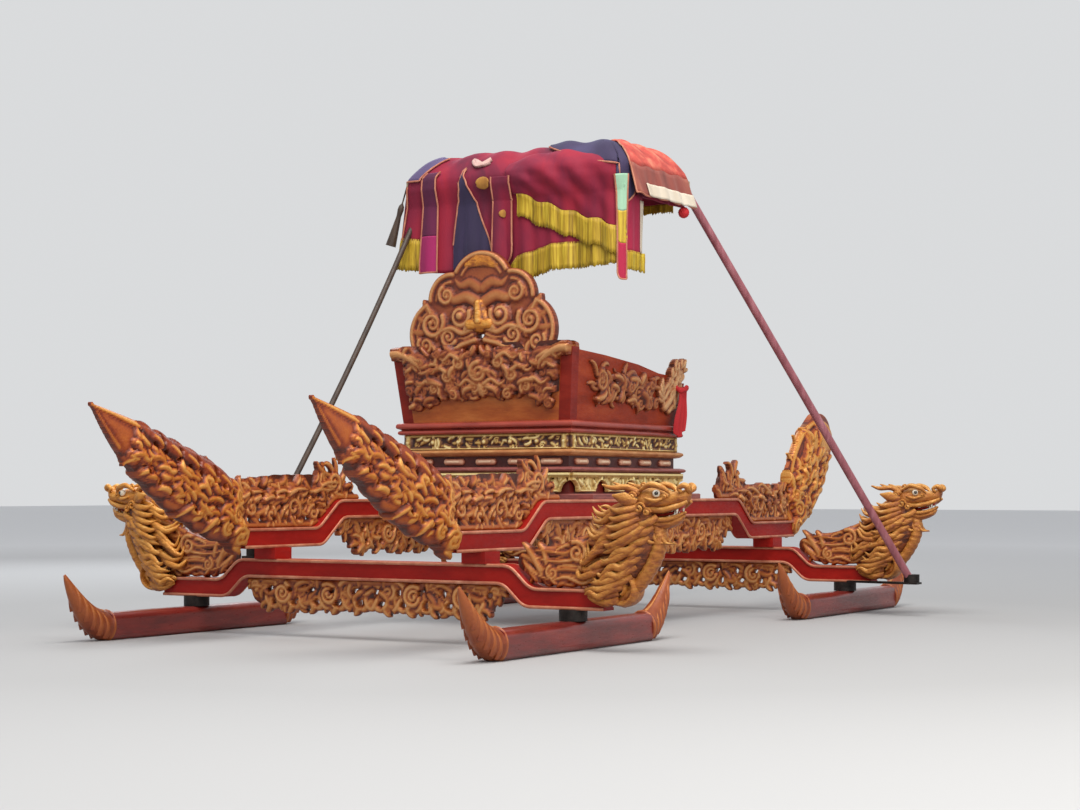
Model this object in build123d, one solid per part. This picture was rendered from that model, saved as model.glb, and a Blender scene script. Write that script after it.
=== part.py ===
from build123d import *
import os
from math import atan2, tan

# A ceremonial palanquin: two stepped main beams with horned ends ride on two stepped cross
# beams with dragon-head ends, and each cross-beam end rests on a short carrying pole that
# swivels under it. A tiered base and an open-fronted throne stand between the main beams,
# under a cloth canopy on two slanting poles.
# Millimetres, +Y forward, +Z up. It is drawn about the throne's centre on the ground and
# moved along Y at the end, so that the middle of its footprint is the origin.

# Carrying poles, the pieces that touch the ground
POLE_WIDTH = 80
POLE_HEIGHT = 90
POLE_EDGE = 22
POLE_SHAFT_HALF = 450
POLE_HALF = 628
POLE_TIP_TOP = 222
SWIVEL_X = 756
SWIVEL_RADIUS = 44
SWIVEL_HEIGHT = 35
PIN_RADIUS = 15
PIN_HEIGHT = 42
RUNNING_GAP = 0.3

# Cross beams, across the direction of travel
CROSS_Y = 1065
CROSS_WIDTH = 62
CROSS_DEPTH = 64
CROSS_RISE = 70
CROSS_STEP_OUT = 620
CROSS_STEP_IN = 545
CROSS_END = 880
DRAGON_REACH = 1166
DRAGON_TOP = 512
DRAGON_THICK = 80

# Main beams, along the direction of travel
MAIN_X = 418
MAIN_WIDTH = 64
MAIN_DEPTH = 66
MAIN_RISE = 94
MAIN_STEP_OUT = 855
MAIN_STEP_IN = 736
MAIN_END = 1250
BLOCK_HEIGHT = 38
REAR_HORN_REACH = 1927
FRONT_HORN_REACH = 1690
HORN_TOP = 752
FRONT_HORN_TOP = 790
HORN_THICK = 92
HOOK_THICK = 40
HOOK_LENGTH = 74
HOOK_STAND = 34

# Carved plates on and under the beams
CARVING_THICK = 34
BEAM_BEND = 70
BEAD = 9
BEAD_STAND = 4
FRET_DROP = 138
CROSS_FRET_DROP = 122
MAIN_CREST_HEIGHT = 185
CROSS_CREST_HEIGHT = 165

# Throne base, tier by tier from the beams up
SEAT_HALF_X = 352
SEAT_HALF_Y = 402
SILL = 20
APRON = 73
LEDGE = 21
WAIST = 38
TOP_LEDGE = 24
FRIEZE = 55
MOULDING = 45
MOULDING_STEP = 7
SEAT_LIP = 15
NOSING = 0.4
BOARD = 28
DECK = 15

# Throne
WALL = 30
THRONE_HEIGHT = 252
FLARE_X = 27
FLARE_Y = 29
POST = 46
BACK_DROP = 20
ARM_DROP = 90
FLAME = 66
SASH_WIDTH = 52
SASH_THICK = 13
SASH_LENGTH = 208
SASH_KNOT = 16
SASH_CLEAR = 4
BACKREST_TOP = 1340
BACKREST_FOOT_HALF = 280
BACKREST_FOOT = 60

# Canopy
CANOPY_LEFT = -365
CANOPY_RIGHT = 545
CANOPY_INSET = 17
CANOPY_REAR = CANOPY_INSET - SEAT_HALF_Y
CANOPY_FRONT = 150
CANOPY_HEM = 1262
CANOPY_BAND_HEM = 1522
CANOPY_EAVE = 1612
CANOPY_RETURN = 110
CANOPY_TOP = 1722
CANOPY_SLOPE = 130
CORNER_SLIT = 17
CLOTH = 8
RAIL = 28
FRONT_POLE_RADIUS = 15
REAR_POLE_RADIUS = 10
FRONT_POLE_FOOT = (1060, 1000)
REAR_POLE_FOOT = (-502, -1065)
REAR_POLE_BOW = 28
SOCKET_WALL = 5
SOCKET_LEAN = 10
SOCKET_HEIGHT = 30
STRAP = 8

# Heights worked out from the sizes above
swivel_top = POLE_HEIGHT + SWIVEL_HEIGHT
cross_low = swivel_top
cross_low_top = cross_low + CROSS_DEPTH
cross_high = cross_low + CROSS_RISE
cross_high_top = cross_high + CROSS_DEPTH
main_low = cross_high_top + BLOCK_HEIGHT
main_low_top = main_low + MAIN_DEPTH
main_high = main_low + MAIN_RISE
main_high_top = main_high + MAIN_DEPTH
sill_top = main_high_top + SILL
apron_top = sill_top + APRON
ledge_top = apron_top + LEDGE
waist_top = ledge_top + WAIST
top_ledge_top = waist_top + TOP_LEDGE
frieze_top = top_ledge_top + FRIEZE
seat_top = frieze_top + MOULDING
moulding_middle = frieze_top + 0.45 * MOULDING
throne_top = seat_top + THRONE_HEIGHT
rail_bottom = CANOPY_EAVE - RAIL
fore_reach = max(FRONT_HORN_REACH, CROSS_Y + POLE_HALF)
MIDDLE_Y = (REAR_HORN_REACH - fore_reach) / 2

SIDES = {"left": -1, "right": 1}
ENDS = {"rear": -1, "front": 1}


def outline(points):
    return make_face(Polyline(*points, close=True))


def disc(a, b, radius):
    return Pos(a, b) * Circle(radius)


def slab(a0, b0, a1, b1):
    return Pos((a0 + a1) / 2, (b0 + b1) / 2) * Rectangle(a1 - a0, b1 - b0)


def along_beam(face, thickness, x=0):
    """A plate drawn in (Y, Z), centred on x."""
    return Pos(x, 0, 0) * extrude(Plane.YZ * face, thickness / 2, both=True)


def across(face, thickness, y=0):
    """A plate drawn in (X, Z), centred on y."""
    return Pos(0, y, 0) * extrude(Plane.XZ * face, thickness / 2, both=True)


def block(x0, y0, z0, x1, y1, z1):
    return Pos((x0 + x1) / 2, (y0 + y1) / 2, (z0 + z1) / 2) * Box(x1 - x0, y1 - y0, z1 - z0)


def stepped_beam(end, low, depth, rise, step_out, step_in):
    """A beam that steps up in the middle, its risers as thick as its runs, and all below its top."""
    lean = atan2(rise, step_out - step_in)
    inset = depth * tan(lean / 2)
    top = [(-end, low + depth), (-step_out, low + depth), (-step_in, low + rise + depth),
           (step_in, low + rise + depth), (step_out, low + depth), (end, low + depth)]
    bottom = [(end, low), (step_out - inset, low), (step_in - inset, low + rise),
              (inset - step_in, low + rise), (inset - step_out, low), (-end, low)]
    beam = outline(top + bottom)
    bends = [v for v in beam.vertices() if abs(v.X) < end - 1]
    below = outline(top + [(end, 0), (-end, 0)])
    corners = [v for v in below.vertices() if abs(v.X) < end - 1]
    return fillet(bends, BEAM_BEND), fillet(corners, BEAM_BEND)


def beaded(shape, width, plate):
    """A beam whose upper and lower edges carry a bead that stands out on both sides."""
    beads = (shape - Pos(0, -BEAD) * shape) + (shape - Pos(0, BEAD) * shape)
    return plate(shape, width - 2 * BEAD_STAND) + plate(beads, width)


main_outline, below_main = stepped_beam(MAIN_END, main_low, MAIN_DEPTH, MAIN_RISE, MAIN_STEP_OUT,
                                       MAIN_STEP_IN)
cross_outline, below_cross = stepped_beam(CROSS_END, cross_low, CROSS_DEPTH, CROSS_RISE,
                                         CROSS_STEP_OUT, CROSS_STEP_IN)


def main_beams():
    beam = beaded(main_outline, MAIN_WIDTH, along_beam)
    return {f"main_beam_{side}": Pos(s * MAIN_X, 0, 0) * beam for side, s in SIDES.items()}


def cross_beams():
    beams = {}
    plain = beaded(cross_outline, CROSS_WIDTH, across)
    for end, e in ENDS.items():
        beam = Pos(0, e * CROSS_Y, 0) * plain
        for s in SIDES.values():
            bore = Pos(s * SWIVEL_X, e * CROSS_Y, cross_low) * Cylinder(
                PIN_RADIUS + RUNNING_GAP, 2 * (PIN_HEIGHT + 1))
            beam = beam - bore
        beams[f"cross_beam_{end}"] = beam
    return beams


def beam_blocks():
    """The joint blocks that seat the main beams on the cross beams."""
    blocks = []
    for s in SIDES.values():
        for e in ENDS.values():
            x, y = s * MAIN_X, e * CROSS_Y
            half = MAIN_WIDTH / 2 + 12
            blocks.append(block(x - half, y - half, cross_high_top, x + half, y + half, main_low))
    return {"beam_blocks": blocks}


def hook(edge, share, side, scale):
    """A leaf that springs from an edge and hooks back over it; side is +1 left of the edge's run."""
    seat = edge @ share
    run = edge % share
    out = Vector(-side * run.Y, side * run.X)
    length, stand = scale * HOOK_LENGTH, scale * HOOK_STAND
    tip = seat + run * length + out * stand
    back = seat - run * (0.25 * length) - out * (0.5 * stand)
    front = seat + run * (0.6 * length) - out * (0.5 * stand)
    outer = ThreePointArc(back, seat + run * (0.3 * length) + out * (0.95 * stand), tip)
    inner = ThreePointArc(tip, seat + run * (0.62 * length) + out * (0.3 * stand), front)
    return make_face(outer + inner + Line(front, back))


def horn(end, lower, upper):
    """A horn drawn in (Y, Z) between two edges that start at the beam's end, with hooked leaves."""
    e = ENDS[end]
    root = Line(upper @ 0, lower @ 0)
    tip = [] if (upper @ 1 - lower @ 1).length < 1 else [
        ThreePointArc(lower @ 1, (lower @ 1 + upper @ 1) / 2 + (lower % 1) * 34, upper @ 1)]
    blade = make_face(Curve() + [lower, upper, root] + tip)
    reach = blade.bounding_box().max.X
    leaves = blade
    for i in range(4):
        leaves = leaves + hook(lower, 0.20 + 0.155 * i, -1, 1 - 0.1 * i)
        leaves = leaves + hook(upper, 0.16 + 0.155 * i, 1, 0.9 - 0.1 * i)
    leaves = leaves & slab(MAIN_END, main_low - 60, reach + 100, HORN_TOP + 100)
    half = HORN_THICK / 2
    waist = MAIN_END + 0.5 * (reach - MAIN_END)
    plan = outline([(MAIN_END, -half), (waist, -0.9 * half), (reach + 1, -0.22 * half),
                    (reach + 1, 0.22 * half), (waist, 0.9 * half), (MAIN_END, half)])
    limit = Pos(0, 0, main_low - 100) * extrude(
        Plane(origin=(0, 0, 0), x_dir=(0, 1, 0), z_dir=(0, 0, 1)) * plan, HORN_TOP)
    body = (along_beam(blade, HORN_THICK) + along_beam(leaves, HOOK_THICK)) & limit
    return body if e > 0 else mirror(body, Plane.XZ)


def horns():
    pieces = {}
    root_top = main_low + 0.47 * (HORN_TOP - main_low)
    run = REAR_HORN_REACH - MAIN_END
    lift = HORN_TOP - main_low
    tip = (REAR_HORN_REACH, HORN_TOP)
    rear_lower = ThreePointArc((MAIN_END, main_low), (MAIN_END + 0.58 * run, main_low + 0.37 * lift), tip)
    rear_upper = ThreePointArc((MAIN_END, root_top), (MAIN_END + 0.5 * run, main_low + 0.765 * lift), tip)
    run = FRONT_HORN_REACH - MAIN_END
    lift = FRONT_HORN_TOP - main_low
    front_lower = ThreePointArc((MAIN_END, main_low), (MAIN_END + 0.71 * run, main_low + 0.37 * lift),
                                (FRONT_HORN_REACH, main_low + 0.83 * lift))
    front_upper = ThreePointArc((MAIN_END, root_top), (MAIN_END + 0.16 * run, main_low + 0.76 * lift),
                                (MAIN_END + 0.54 * run, main_low + 0.985 * lift))
    for end, lower, upper in (("rear", rear_lower, rear_upper), ("front", front_lower, front_upper)):
        shape = horn(end, lower, upper)
        for side, s in SIDES.items():
            pieces[f"{end}_horn_{side}"] = Pos(s * MAIN_X, 0, 0) * shape
    return pieces


# Scrolls of a crest: place along it and height of the centre as shares of its length and
# height, then radius and eye radius as shares of its height
CREST_SCROLLS = ((0.08, 0.42, 0.38, 0.10), (0.27, 0.60, 0.36, 0.12), (0.47, 0.52, 0.34, 0.10),
                 (0.66, 0.66, 0.34, 0.13), (0.86, 0.50, 0.40, 0.12))


def crest(start, stop, base, height, below):
    """An openwork crest of scrolls that stands on a beam between two places along it."""
    length = stop - start
    shape = slab(start, base, stop, base + 0.3 * height)
    for place, level, radius, eye in CREST_SCROLLS:
        shape = shape + disc(start + place * length, base + level * height, radius * height)
    for place, level, radius, eye in CREST_SCROLLS:
        shape = shape - disc(start + place * length, base + level * height, eye * height)
    shape = shape & slab(start, base, stop, base + 2 * height)
    return shape - below


def main_crests():
    pieces = {}
    shape = crest(MAIN_STEP_IN - 130, MAIN_END, main_low_top, MAIN_CREST_HEIGHT, below_main)
    for end, e in ENDS.items():
        for side, s in SIDES.items():
            plate = along_beam(shape, CARVING_THICK, s * MAIN_X)
            pieces[f"main_crest_{end}_{side}"] = plate if e > 0 else mirror(plate, Plane.XZ)
    return pieces


def cross_crests():
    pieces = {}
    shape = crest(CROSS_STEP_OUT - 10, CROSS_END - 50, cross_low_top, CROSS_CREST_HEIGHT, below_cross)
    for end, e in ENDS.items():
        plate = across(shape, CARVING_THICK, e * CROSS_Y)
        pieces[f"cross_crests_{end}"] = [plate, mirror(plate, Plane.YZ)]
    return pieces


def fret(half, top, drop, lobes):
    """A pierced fret that hangs under a beam: a rail, then a row of pierced lobes."""
    pitch = 2 * half / lobes
    radius = 0.42 * drop
    shape = slab(-half, top - 0.45 * drop, half, top)
    for i in range(lobes):
        place = -half + (i + 0.5) * pitch
        shape = shape + disc(place, top - drop + radius, min(radius, 0.5 * pitch - 2))
    for i in range(lobes):
        place = -half + (i + 0.5) * pitch
        shape = shape - disc(place, top - drop + radius, 0.4 * radius)
    for i in range(1, lobes):
        shape = shape - disc(-half + i * pitch, top - 0.24 * drop, 0.13 * drop)
    return shape


def frets():
    pieces = {}
    main_inset = MAIN_DEPTH * tan(atan2(MAIN_RISE, MAIN_STEP_OUT - MAIN_STEP_IN) / 2)
    shape = fret(MAIN_STEP_IN - main_inset, main_high, FRET_DROP, 11) - main_outline
    for side, s in SIDES.items():
        pieces[f"main_fret_{side}"] = along_beam(shape, CARVING_THICK, s * MAIN_X)
    cross_inset = CROSS_DEPTH * tan(atan2(CROSS_RISE, CROSS_STEP_OUT - CROSS_STEP_IN) / 2)
    shape = fret(CROSS_STEP_IN - cross_inset, cross_high, CROSS_FRET_DROP, 9) - cross_outline
    for end, e in ENDS.items():
        pieces[f"cross_fret_{end}"] = across(shape, CARVING_THICK, e * CROSS_Y)
    return pieces


# Discs that make a dragon's head, drawn in (X, Z): out from the beam's end, up from its top, radius
DRAGON_DISCS = ((10, 30, 46), (52, 78, 52), (98, 130, 60), (142, 190, 64), (120, 250, 50),
                (196, 236, 46), (252, 282, 36), (226, 176, 32))


def dragons():
    """Dragon heads that rise from the cross beams' ends."""
    shape = slab(CROSS_END - 50, cross_low_top, CROSS_END + 40, cross_low_top + 60)
    shape = shape + slab(CROSS_END, cross_low, CROSS_END + 60, cross_low_top + 60)
    for out, up, radius in DRAGON_DISCS:
        shape = shape + disc(CROSS_END + out, cross_low_top + up, radius)
    mouth = outline([(CROSS_END + 170, cross_low_top + 205), (DRAGON_REACH + 10, cross_low_top + 218),
                     (DRAGON_REACH + 10, cross_low_top + 190)])
    shape = shape - mouth
    shape = shape & slab(CROSS_END - 50, cross_low, DRAGON_REACH, DRAGON_TOP)
    shape = shape - cross_outline
    pieces = {}
    for end, e in ENDS.items():
        plate = across(shape, DRAGON_THICK, e * CROSS_Y)
        pieces[f"dragon_{end}_right"] = plate
        pieces[f"dragon_{end}_left"] = mirror(plate, Plane.YZ)
    return pieces


def carrying_pole():
    """The shaft of one carrying pole, along Y about its own swivel."""
    section = Pos(0, POLE_HEIGHT / 2) * RectangleRounded(POLE_WIDTH, POLE_HEIGHT, POLE_EDGE)
    return extrude(Plane.XZ * section, POLE_SHAFT_HALF, both=True)


def pole_tip():
    """The upswept end of a carrying pole, drawn in (Y, Z) and tapered in plan."""
    run = POLE_HALF - POLE_SHAFT_HALF
    lower = ThreePointArc((POLE_SHAFT_HALF, 0), (POLE_SHAFT_HALF + 0.72 * run, 0.30 * POLE_TIP_TOP),
                          (POLE_HALF, POLE_TIP_TOP))
    upper = ThreePointArc((POLE_HALF, POLE_TIP_TOP), (POLE_SHAFT_HALF + 0.45 * run, 0.62 * POLE_TIP_TOP),
                          (POLE_SHAFT_HALF, POLE_HEIGHT))
    side = make_face(lower + upper + Line((POLE_SHAFT_HALF, POLE_HEIGHT), (POLE_SHAFT_HALF, 0)))
    half = POLE_WIDTH / 2
    plan = outline([(POLE_SHAFT_HALF, -half), (POLE_HALF + 1, -8), (POLE_HALF + 1, 8),
                    (POLE_SHAFT_HALF, half)])
    limit = extrude(Plane(origin=(0, 0, -1), x_dir=(0, 1, 0), z_dir=(0, 0, 1)) * plan, POLE_TIP_TOP + 2)
    return along_beam(side, POLE_WIDTH) & limit


def carrying_poles():
    pieces = {}
    tip = pole_tip()
    swivel = Pos(0, 0, POLE_HEIGHT + SWIVEL_HEIGHT / 2 - RUNNING_GAP / 2) * Cylinder(
        SWIVEL_RADIUS, SWIVEL_HEIGHT - RUNNING_GAP)
    pin = Pos(0, 0, swivel_top + PIN_HEIGHT / 2 - 1) * Cylinder(PIN_RADIUS, PIN_HEIGHT + 2)
    for end, e in ENDS.items():
        for side, s in SIDES.items():
            place = Pos(s * SWIVEL_X, e * CROSS_Y, 0)
            pieces[f"carrying_pole_{end}_{side}"] = place * carrying_pole()
            pieces[f"pole_tips_{end}_{side}"] = [place * tip, place * mirror(tip, Plane.XZ)]
            pieces[f"swivel_block_{end}_{side}"] = place * (swivel + pin)
    return pieces


def tier(half_x, half_y, low, high):
    return block(-half_x, -half_y, low, half_x, half_y, high)


def nosed(half_x, half_y, low, high):
    """A tier with a rounded nosing on its upper and lower edges."""
    board = tier(half_x, half_y, low, high)
    edges = board.faces().sort_by(Axis.Z)[0].edges() + board.faces().sort_by(Axis.Z)[-1].edges()
    return fillet(edges, NOSING * (high - low))


def boards(half_x, half_y, low, high, thickness):
    """Four butted boards round a rectangle: two along Y, two between them."""
    pieces = []
    for s in SIDES.values():
        x = s * (half_x - thickness / 2)
        pieces.append(block(x - thickness / 2, -half_y, low, x + thickness / 2, half_y, high))
        y = s * (half_y - thickness / 2)
        pieces.append(block(thickness - half_x, y - thickness / 2, low, half_x - thickness,
                            y + thickness / 2, high))
    return pieces


def scalloped(half, low, high, lobes):
    """An apron board of broad lobes with an arched notch between each two."""
    pitch = 2 * half / lobes
    shape = slab(-half, low, half, high)
    for i in range(1, lobes):
        shape = shape - disc(-half + i * pitch, low, 0.6 * (high - low))
        shape = shape - disc(-half + (i - 0.5) * pitch, low, 0.2 * (high - low))
    return shape - disc(half - 0.5 * pitch, low, 0.2 * (high - low))


def pierced(half, low, high, holes):
    pitch = 2 * half / holes
    shape = slab(-half, low, half, high)
    for i in range(holes):
        shape = shape - disc(-half + (i + 0.5) * pitch, (low + high) / 2, 0.26 * (high - low))
    return shape


def throne_base():
    apron_x = SEAT_HALF_X + 20
    apron_y = SEAT_HALF_Y + 20
    frieze_x = SEAT_HALF_X
    frieze_y = SEAT_HALF_Y
    seat_x = SEAT_HALF_X + SEAT_LIP
    seat_y = SEAT_HALF_Y + SEAT_LIP
    pieces = {
        "base_sill": tier(MAIN_X + MAIN_WIDTH / 2 - 4, SEAT_HALF_Y + 4, main_high_top, sill_top),
        "base_ledge": nosed(apron_x, apron_y, apron_top, ledge_top),
        "base_waist": boards(SEAT_HALF_X - 12, SEAT_HALF_Y - 12, ledge_top, waist_top, BOARD),
        "base_top_ledge": nosed(seat_x - 2, seat_y - 2, waist_top, top_ledge_top),
        "seat_board": nosed(seat_x - MOULDING_STEP, seat_y - MOULDING_STEP, frieze_top, moulding_middle)
        + nosed(seat_x, seat_y, moulding_middle, seat_top),
        "seat_deck": tier(SEAT_HALF_X - POST - 2, SEAT_HALF_Y - POST - 2, seat_top, seat_top + DECK),
    }
    apron = []
    frieze = []
    posts = []
    for s in SIDES.values():
        side_apron = scalloped(apron_y, sill_top, apron_top, 4)
        apron.append(along_beam(side_apron, BOARD, s * (apron_x - BOARD / 2)))
        end_apron = scalloped(apron_x - BOARD, sill_top, apron_top, 3)
        apron.append(across(end_apron, BOARD, s * (apron_y - BOARD / 2)))
        side_frieze = pierced(frieze_y - POST, top_ledge_top, frieze_top, 13)
        frieze.append(along_beam(side_frieze, BOARD, s * (frieze_x - BOARD / 2)))
        end_frieze = pierced(frieze_x - POST, top_ledge_top, frieze_top, 11)
        frieze.append(across(end_frieze, BOARD, s * (frieze_y - BOARD / 2)))
        for e in ENDS.values():
            x, y = s * (frieze_x - POST / 2), e * (frieze_y - POST / 2)
            posts.append(block(x - POST / 2, y - POST / 2, top_ledge_top, x + POST / 2,
                               y + POST / 2, frieze_top))
    pieces["base_apron"] = apron
    pieces["base_frieze"] = frieze
    pieces["base_posts"] = posts
    return pieces


def flared(bottom, top, low, high):
    """A solid between two rectangles, each given as x0, y0, x1, y1."""
    lower = Pos(0, 0, low) * slab(*bottom)
    upper = Pos(0, 0, high) * slab(*top)
    return loft([lower.face(), upper.face()])


# Lobes of an arm terminal: place forwards, height above the arm and radius, as shares of FLAME
FLAME_LOBES = ((0.42, 0.35, 0.52), (0.60, 0.66, 0.34))


def throne():
    x0, y0 = SEAT_HALF_X, SEAT_HALF_Y
    x1, y1 = x0 + FLARE_X, y0 + FLARE_Y
    back_top = throne_top - BACK_DROP
    share = (back_top - seat_top) / THRONE_HEIGHT
    xb, yb = x0 + share * FLARE_X, y0 + share * FLARE_Y
    back = flared((POST - x0, -y0, x0 - POST, WALL - y0),
                  (POST - xb, -yb, xb - POST, WALL - yb), seat_top, back_top)
    side = flared((x0 - WALL, POST - y0, x0, y0 - POST),
                  (x1 - WALL, POST - y1, x1, y1 - POST), seat_top, throne_top)
    top_edge = outline([(-y1, seat_top - 1), (-y1, throne_top - 6), (-0.5 * y0, throne_top - 18),
                        (0.12 * y0, throne_top - 38), (0.52 * y0, throne_top - 62),
                        (y1, throne_top - 74), (y1, seat_top - 1)])
    side = side & along_beam(top_edge, 60, x0 + FLARE_X / 2)
    rear_post = flared((x0 - POST, -y0, x0, POST - y0), (x1 - POST, -y1, x1, POST - y1),
                       seat_top, throne_top)
    arm_top = throne_top - ARM_DROP
    arm_share = (arm_top - seat_top) / THRONE_HEIGHT
    xa, ya = x0 + arm_share * FLARE_X, y0 + arm_share * FLARE_Y
    front_post = flared((x0 - POST, y0 - POST, x0, y0), (xa - POST, ya - POST, xa, ya),
                        seat_top, arm_top)
    flame = slab(ya - POST, arm_top, ya, arm_top + 0.4 * FLAME)
    for forward, level, radius in FLAME_LOBES:
        flame = flame + disc(y1 - POST + forward * FLAME, arm_top + level * FLAME, radius * FLAME)
    flame = flame & slab(y1 - POST, arm_top, y1 + 0.2 * FLAME, arm_top + FLAME)
    terminal = along_beam(flame, POST - 6, xa - POST / 2)
    hang = x0 + SEAT_LIP + SASH_CLEAR
    knot_top = arm_top + SASH_KNOT
    knot_x = x0 + FLARE_X * (knot_top - seat_top) / THRONE_HEIGHT
    sash = outline([(xa, arm_top), (knot_x, knot_top), (hang + SASH_THICK, knot_top),
                    (hang + 1.4 * SASH_THICK, arm_top - SASH_KNOT), (hang + SASH_THICK, arm_top - SASH_LENGTH),
                    (hang, arm_top - SASH_LENGTH), (hang, arm_top - SASH_KNOT)])
    return {
        "throne_back": back,
        "throne_side_right": side,
        "throne_side_left": mirror(side, Plane.YZ),
        "throne_posts": [rear_post, mirror(rear_post, Plane.YZ), front_post, mirror(front_post, Plane.YZ)],
        "arm_terminals": [terminal, mirror(terminal, Plane.YZ)],
        "arm_sash": across(sash, SASH_WIDTH, y0 - POST),
    }


# Lobes of the backrest as seen from behind: half width of the pair, height above the back, radius
BACKREST_LOBES = ((0, 243, 130), (128, 205, 98), (186, 85, 122), (0, 90, 150))


def backrest():
    base = throne_top - BACK_DROP
    shape = slab(-BACKREST_FOOT_HALF, base, BACKREST_FOOT_HALF, base + BACKREST_FOOT)
    for half, up, radius in BACKREST_LOBES:
        for s in (-1, 1):
            shape = shape + disc(s * half, base + up, radius)
    shape = shape & slab(-SEAT_HALF_X, base, SEAT_HALF_X, BACKREST_TOP)
    y = -(SEAT_HALF_Y + FLARE_Y * (base - seat_top) / THRONE_HEIGHT) + WALL / 2
    return {"backrest": across(shape, WALL, y)}


def canopy_cloth():
    """The cloth: a raised top, a long rear wall with a short return, and bands on the other sides."""
    outer = (CANOPY_LEFT, CANOPY_REAR, CANOPY_RIGHT, CANOPY_FRONT)
    top = (CANOPY_LEFT + CANOPY_SLOPE, CANOPY_REAR + CANOPY_SLOPE,
           CANOPY_RIGHT - CANOPY_SLOPE, CANOPY_FRONT - CANOPY_SLOPE)
    inner = (CANOPY_LEFT + CLOTH, CANOPY_REAR + CLOTH, CANOPY_RIGHT - CLOTH, CANOPY_FRONT - CLOTH)
    inner_top = (top[0] + CLOTH, top[1] + CLOTH, top[2] - CLOTH, top[3] - CLOTH)
    whole = flared(outer, outer, CANOPY_HEM, CANOPY_EAVE) + flared(outer, top, CANOPY_EAVE, CANOPY_TOP)
    hollow = flared(inner, inner, CANOPY_HEM - 1, CANOPY_EAVE) + flared(
        inner, inner_top, CANOPY_EAVE, CANOPY_TOP - CLOTH)
    left_band = block(CANOPY_LEFT - 1, CANOPY_REAR + CLOTH, CANOPY_HEM - 1, CANOPY_LEFT + CLOTH + 1,
                      CANOPY_FRONT + 1, rail_bottom)
    front_band = block(CANOPY_LEFT - 1, CANOPY_FRONT - CLOTH - 1, CANOPY_HEM - 1, CANOPY_RIGHT + 1,
                       CANOPY_FRONT + 1, rail_bottom)
    right_band = block(CANOPY_RIGHT - CLOTH - 1, CANOPY_REAR + CANOPY_RETURN, CANOPY_HEM - 1,
                       CANOPY_RIGHT + 1, CANOPY_FRONT + 1, CANOPY_BAND_HEM)
    pole_slit = block(CANOPY_RIGHT - CLOTH - 1, CANOPY_FRONT - 4 * FRONT_POLE_RADIUS, CANOPY_HEM - 1,
                      CANOPY_RIGHT + 1, CANOPY_FRONT + 1, rail_bottom)
    corner_slit = block(CANOPY_LEFT - 1, CANOPY_REAR - 1, CANOPY_HEM - 1, CANOPY_LEFT + 2 * CORNER_SLIT,
                        CANOPY_REAR + CLOTH + 1, rail_bottom)
    return whole - hollow - left_band - front_band - right_band - pole_slit - corner_slit


def canopy_frame():
    """Four rails just inside the cloth, butted as boards are."""
    x0, y0 = CANOPY_LEFT + CLOTH, CANOPY_REAR + CLOTH
    x1, y1 = CANOPY_RIGHT - CLOTH, CANOPY_FRONT - CLOTH
    rails = [block(x0, y0, rail_bottom, x0 + RAIL, y1, CANOPY_EAVE),
             block(x1 - RAIL, y0, rail_bottom, x1, y1, CANOPY_EAVE),
             block(x0 + RAIL, y0, rail_bottom, x1 - RAIL, y0 + RAIL, CANOPY_EAVE),
             block(x0 + RAIL, y1 - RAIL, rail_bottom, x1 - RAIL, y1, CANOPY_EAVE)]
    return rails


def slanting_pole(foot, head, radius, bow):
    """A round pole from foot to head that bows towards +X, cut level at both ends."""
    run = Vector(*head) - Vector(*foot)
    spare = run.normalized() * (3 * radius)
    low, high = Vector(*foot) - spare, Vector(*head) + spare
    path = ThreePointArc(low, (low + high) / 2 + Vector(bow, 0, 0), high) if bow else Line(low, high)
    pole = sweep(Plane(origin=path @ 0, z_dir=path % 0) * Circle(radius), path=path)
    return pole & block(-3000, -3000, foot[2], 3000, 3000, head[2])


def socket(pole, foot, radius):
    """An iron cup round a pole's foot, cut level at its mouth."""
    cup = Pos(foot[0], foot[1], foot[2]) * Cylinder(
        radius + SOCKET_WALL + SOCKET_LEAN, SOCKET_HEIGHT, align=(Align.CENTER, Align.CENTER, Align.MIN))
    return cup - pole


def canopy():
    front_foot = (*FRONT_POLE_FOOT, cross_low + STRAP)
    front_head = (CANOPY_RIGHT - CLOTH - RAIL / 2, CANOPY_FRONT - CLOTH - RAIL / 2, rail_bottom)
    rear_foot = (*REAR_POLE_FOOT, cross_high_top + STRAP)
    rear_head = (CANOPY_LEFT + CLOTH + RAIL / 2, CANOPY_REAR + CANOPY_RETURN, rail_bottom)
    front_pole = slanting_pole(front_foot, front_head, FRONT_POLE_RADIUS, 0)
    rear_pole = slanting_pole(rear_foot, rear_head, REAR_POLE_RADIUS, REAR_POLE_BOW)
    beam_y = CROSS_Y - CROSS_WIDTH / 2
    clear_y = CROSS_Y - DRAGON_THICK / 2 - 2
    foot_x, foot_y = FRONT_POLE_FOOT
    strap_plan = outline([(CROSS_END - 90, beam_y), (CROSS_END - 55, beam_y), (CROSS_END - 55, clear_y),
                          (foot_x + 32, clear_y), (foot_x + 32, foot_y - 30), (foot_x - 40, foot_y - 30),
                          (CROSS_END - 90, beam_y - 35)])
    strap = extrude(Pos(0, 0, cross_low) * strap_plan, STRAP)
    x, y = REAR_POLE_FOOT
    plate = block(x - 28, y - 30, cross_high_top, x + 24, y + 30, cross_high_top + STRAP)
    return {
        "canopy_pole_front": front_pole,
        "canopy_pole_rear": rear_pole,
        "pole_sockets": [strap + socket(front_pole, front_foot, FRONT_POLE_RADIUS),
                         plate + socket(rear_pole, rear_foot, REAR_POLE_RADIUS)],
        "canopy_frame": canopy_frame(),
        "canopy_cloth": canopy_cloth(),
    }


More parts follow.
